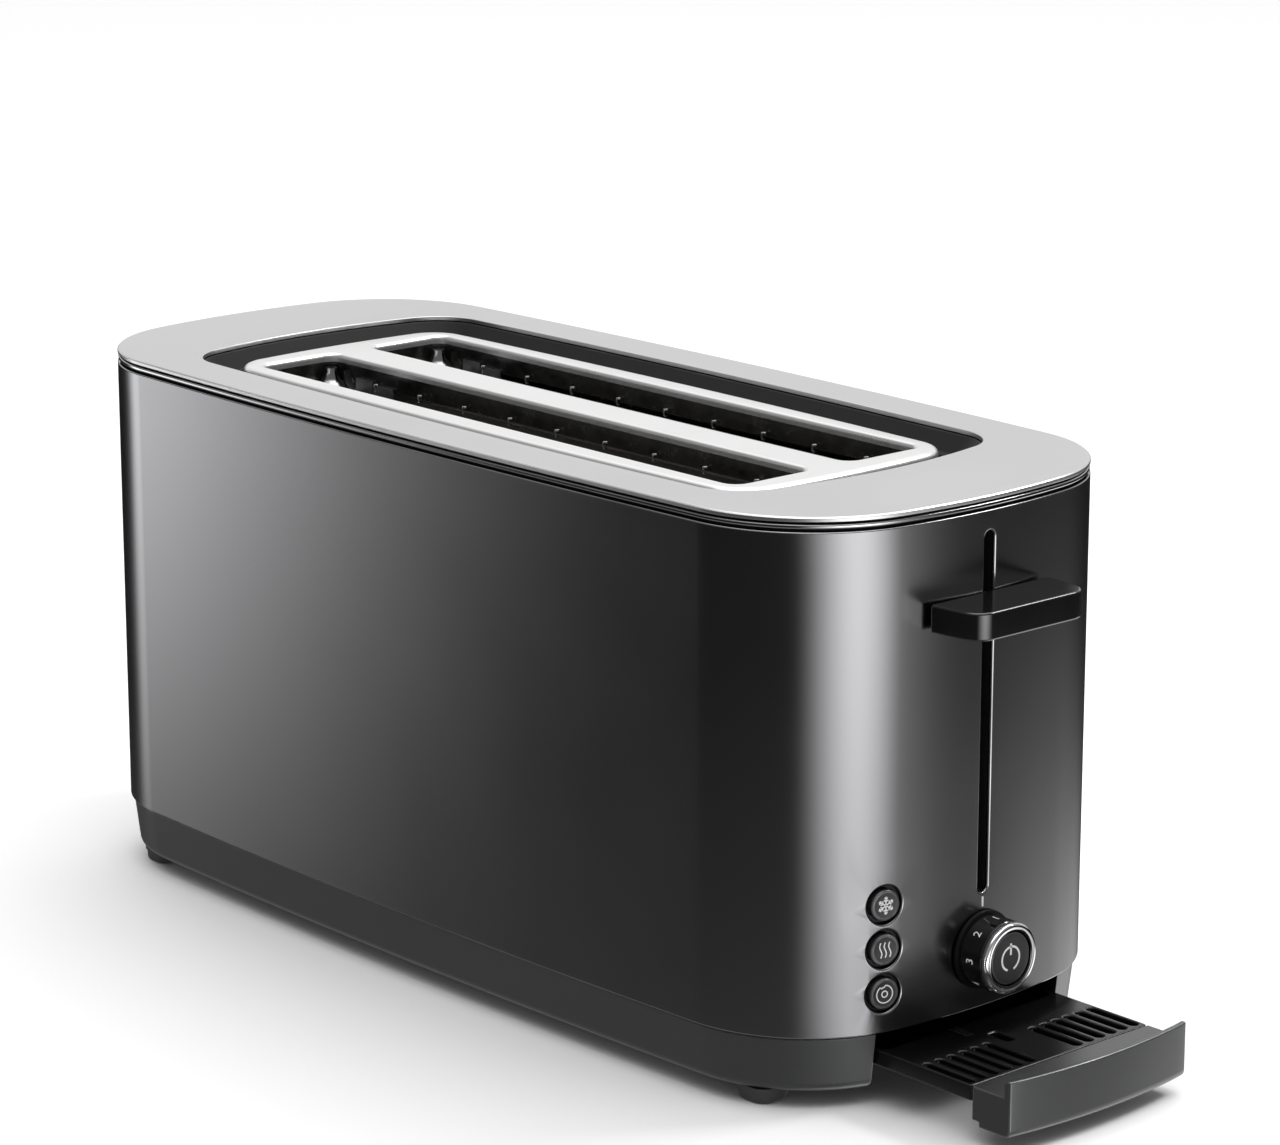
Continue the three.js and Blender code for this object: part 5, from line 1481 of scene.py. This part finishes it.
# ---------------------------------------------------------------- CAD pieces that stay, with their finishes
KEPT = {
    "top_carrier": "black_plastic", "bottom_pan": "black_plastic", "terminal_block": "base_grey",
    "front_chassis_plate": "sheet_steel", "rear_chassis_plate": "sheet_steel",
    "heat_shield_near": "dark_web", "heat_shield_far": "dark_web",
    "heater_board_near": "mica", "heater_board_centre": "mica", "heater_board_far": "mica",
    "guide_rod": "bright_chrome", "magnet_core": "sheet_steel", "magnet_coil": "black_plastic",
    "control_board": "circuit_board", "button_board": "circuit_board", "button_panel": "black_plastic",
    "dial_encoder": "base_grey", "slit_liner": "black_plastic", "tray_rail_near": "sheet_steel",
    "tray_rail_far": "sheet_steel", "latch_plate": "sheet_steel",
}
for kept_node, kept_finish in KEPT.items():
    kept_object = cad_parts[kept_node]
    if not kept_object.data.materials:
        kept_object.data.materials.append(FINISHES[kept_finish])
    for material_slot in kept_object.material_slots:
        material_slot.material = FINISHES[kept_finish]


# ---------------------------------------------------------------- floor, light and camera
def studio_floor():
    """A wide pale floor that the gloss of the object doesn't pick up."""
    mesh = bpy.data.meshes.new("studio_floor")
    reach = 30.0
    mesh.from_pydata([(-reach, -reach, 0), (reach, -reach, 0), (reach, reach, 0), (-reach, reach, 0)], [], [(0, 1, 2, 3)])
    floor = bpy.data.objects.new("studio_floor", mesh)
    scene.collection.objects.link(floor)
    material = bpy.data.materials.new("pale_floor")
    material.use_nodes = True
    shader = material.node_tree.nodes["Principled BSDF"]
    shader.inputs["Base Color"].default_value = (0.93, 0.93, 0.93, 1)
    shader.inputs["Roughness"].default_value = 0.9
    mesh.materials.append(material)
    floor.visible_glossy = False


studio_floor()


def soft_light(name, place_at, aim, size, power):
    """A soft rectangular light."""
    data = bpy.data.lights.new(name, "AREA")
    data.shape = "RECTANGLE"
    data.size, data.size_y = size
    data.energy = power
    light = bpy.data.objects.new(name, data)
    scene.collection.objects.link(light)
    light.location = place_at
    light.rotation_euler = (Vector(aim) - Vector(place_at)).to_track_quat("-Z", "Y").to_euler()
    light.visible_camera = False
    return light


soft_light("overhead", (0.1, 0.2, 1.9), (-0.03, 0, 0), (2.2, 1.6), 14)

soft_light("glint", (0.72, 1.29, 1.46), (0.2, 0, 0.02), (0.4, 0.4), 12)

# Soft glows that the upright faces pick up, below the horizon: the way each lies, in degrees from the +X axis;
# how far round it is full and where it ends; the elevations where it starts and is full; and its strength.
GLOWS = (
    ((205, 0, 17), (-20.5, -8), 5.3),
    ((-7, 0, 46), (-29, -9), 5.6),
    ((85, 10, 45), (-16, -21), 1.3),
    ((50, 18, 52), (-17, -21), 0.4),
    ((0, 180, 181), (-14, -31), 0.30),
)
GLOW_AT_HORIZON = 0.15


def studio_world():
    """Light all round: bright overhead, pale behind, dimmer in front, and soft glows low down."""
    world = bpy.data.worlds.new("studio")
    scene.world = world
    world.use_nodes = True
    g = Graph(world.node_tree)
    g.tree.nodes.clear()

    def math_node(operation, first, second=None):
        inputs = {0: first} if second is None else {0: first, 1: second}
        return g.node("ShaderNodeMath", inputs, operation=operation).outputs["Value"]

    def ramp(value, start, end, low=0.0, high=1.0):
        ramped = g.node("ShaderNodeMapRange", {
            "Value": value, "From Min": math.radians(start), "From Max": math.radians(end), "To Min": low,
            "To Max": high}, interpolation_type="SMOOTHSTEP")
        return ramped.outputs["Result"]

    direction = g.node("ShaderNodeTexCoord").outputs["Generated"]
    parts = g.node("ShaderNodeSeparateXYZ", {"Vector": direction}).outputs
    azimuth = math_node("ARCTAN2", parts["Y"], parts["X"])
    elevation = math_node("ARCSINE", parts["Z"])

    def away_from(degrees):
        return math_node("PINGPONG", math_node("SUBTRACT", azimuth, math.radians(degrees)), math.pi)

    low = 0.015
    for (middle, full, end), (start, whole), strength in GLOWS:
        round_about = ramp(away_from(middle), full, end, 1.0, 0.0)
        height = ramp(elevation, start, whole)
        glow = math_node("MULTIPLY", math_node("MULTIPLY", round_about, height), strength)
        low = math_node("ADD", glow, low)
    low = math_node("MULTIPLY", low, ramp(elevation, -3, -11, GLOW_AT_HORIZON, 1.0))
    sides = ramp(away_from(140), 38, 72, 0.94, 0.26)
    overhead = ramp(elevation, 38, 60)
    high = g.node("ShaderNodeMix", {"Factor": overhead, "A": sides, "B": 1.7}).outputs["Result"]
    whole = g.node("ShaderNodeMix", {"Factor": ramp(elevation, -1.5, 3), "A": low, "B": high}).outputs["Result"]
    seen = g.node("ShaderNodeLightPath").outputs["Is Camera Ray"]
    shown = g.node("ShaderNodeMix", {"Factor": seen, "A": whole, "B": 1.0}).outputs["Result"]
    back = g.node("ShaderNodeBackground", {"Color": (1, 1, 1, 1), "Strength": shown})
    g.node("ShaderNodeOutputWorld", {"Surface": back.outputs["Background"]})


studio_world()

CAMERA_PLACE = (1.1072, -0.9792, 0.5215)
CAMERA_AZIMUTH = math.radians(48.36)
CAMERA_PITCH = math.radians(14.43)
camera_data = bpy.data.cameras.new("main_camera")
camera_data.sensor_width = 36
camera_data.lens = 120.66
camera = bpy.data.objects.new("main_camera", camera_data)
scene.collection.objects.link(camera)
camera.location = CAMERA_PLACE
camera.rotation_euler = (QUARTER - CAMERA_PITCH, 0, CAMERA_AZIMUTH)
scene.camera = camera
scene.view_settings.view_transform = "Standard"
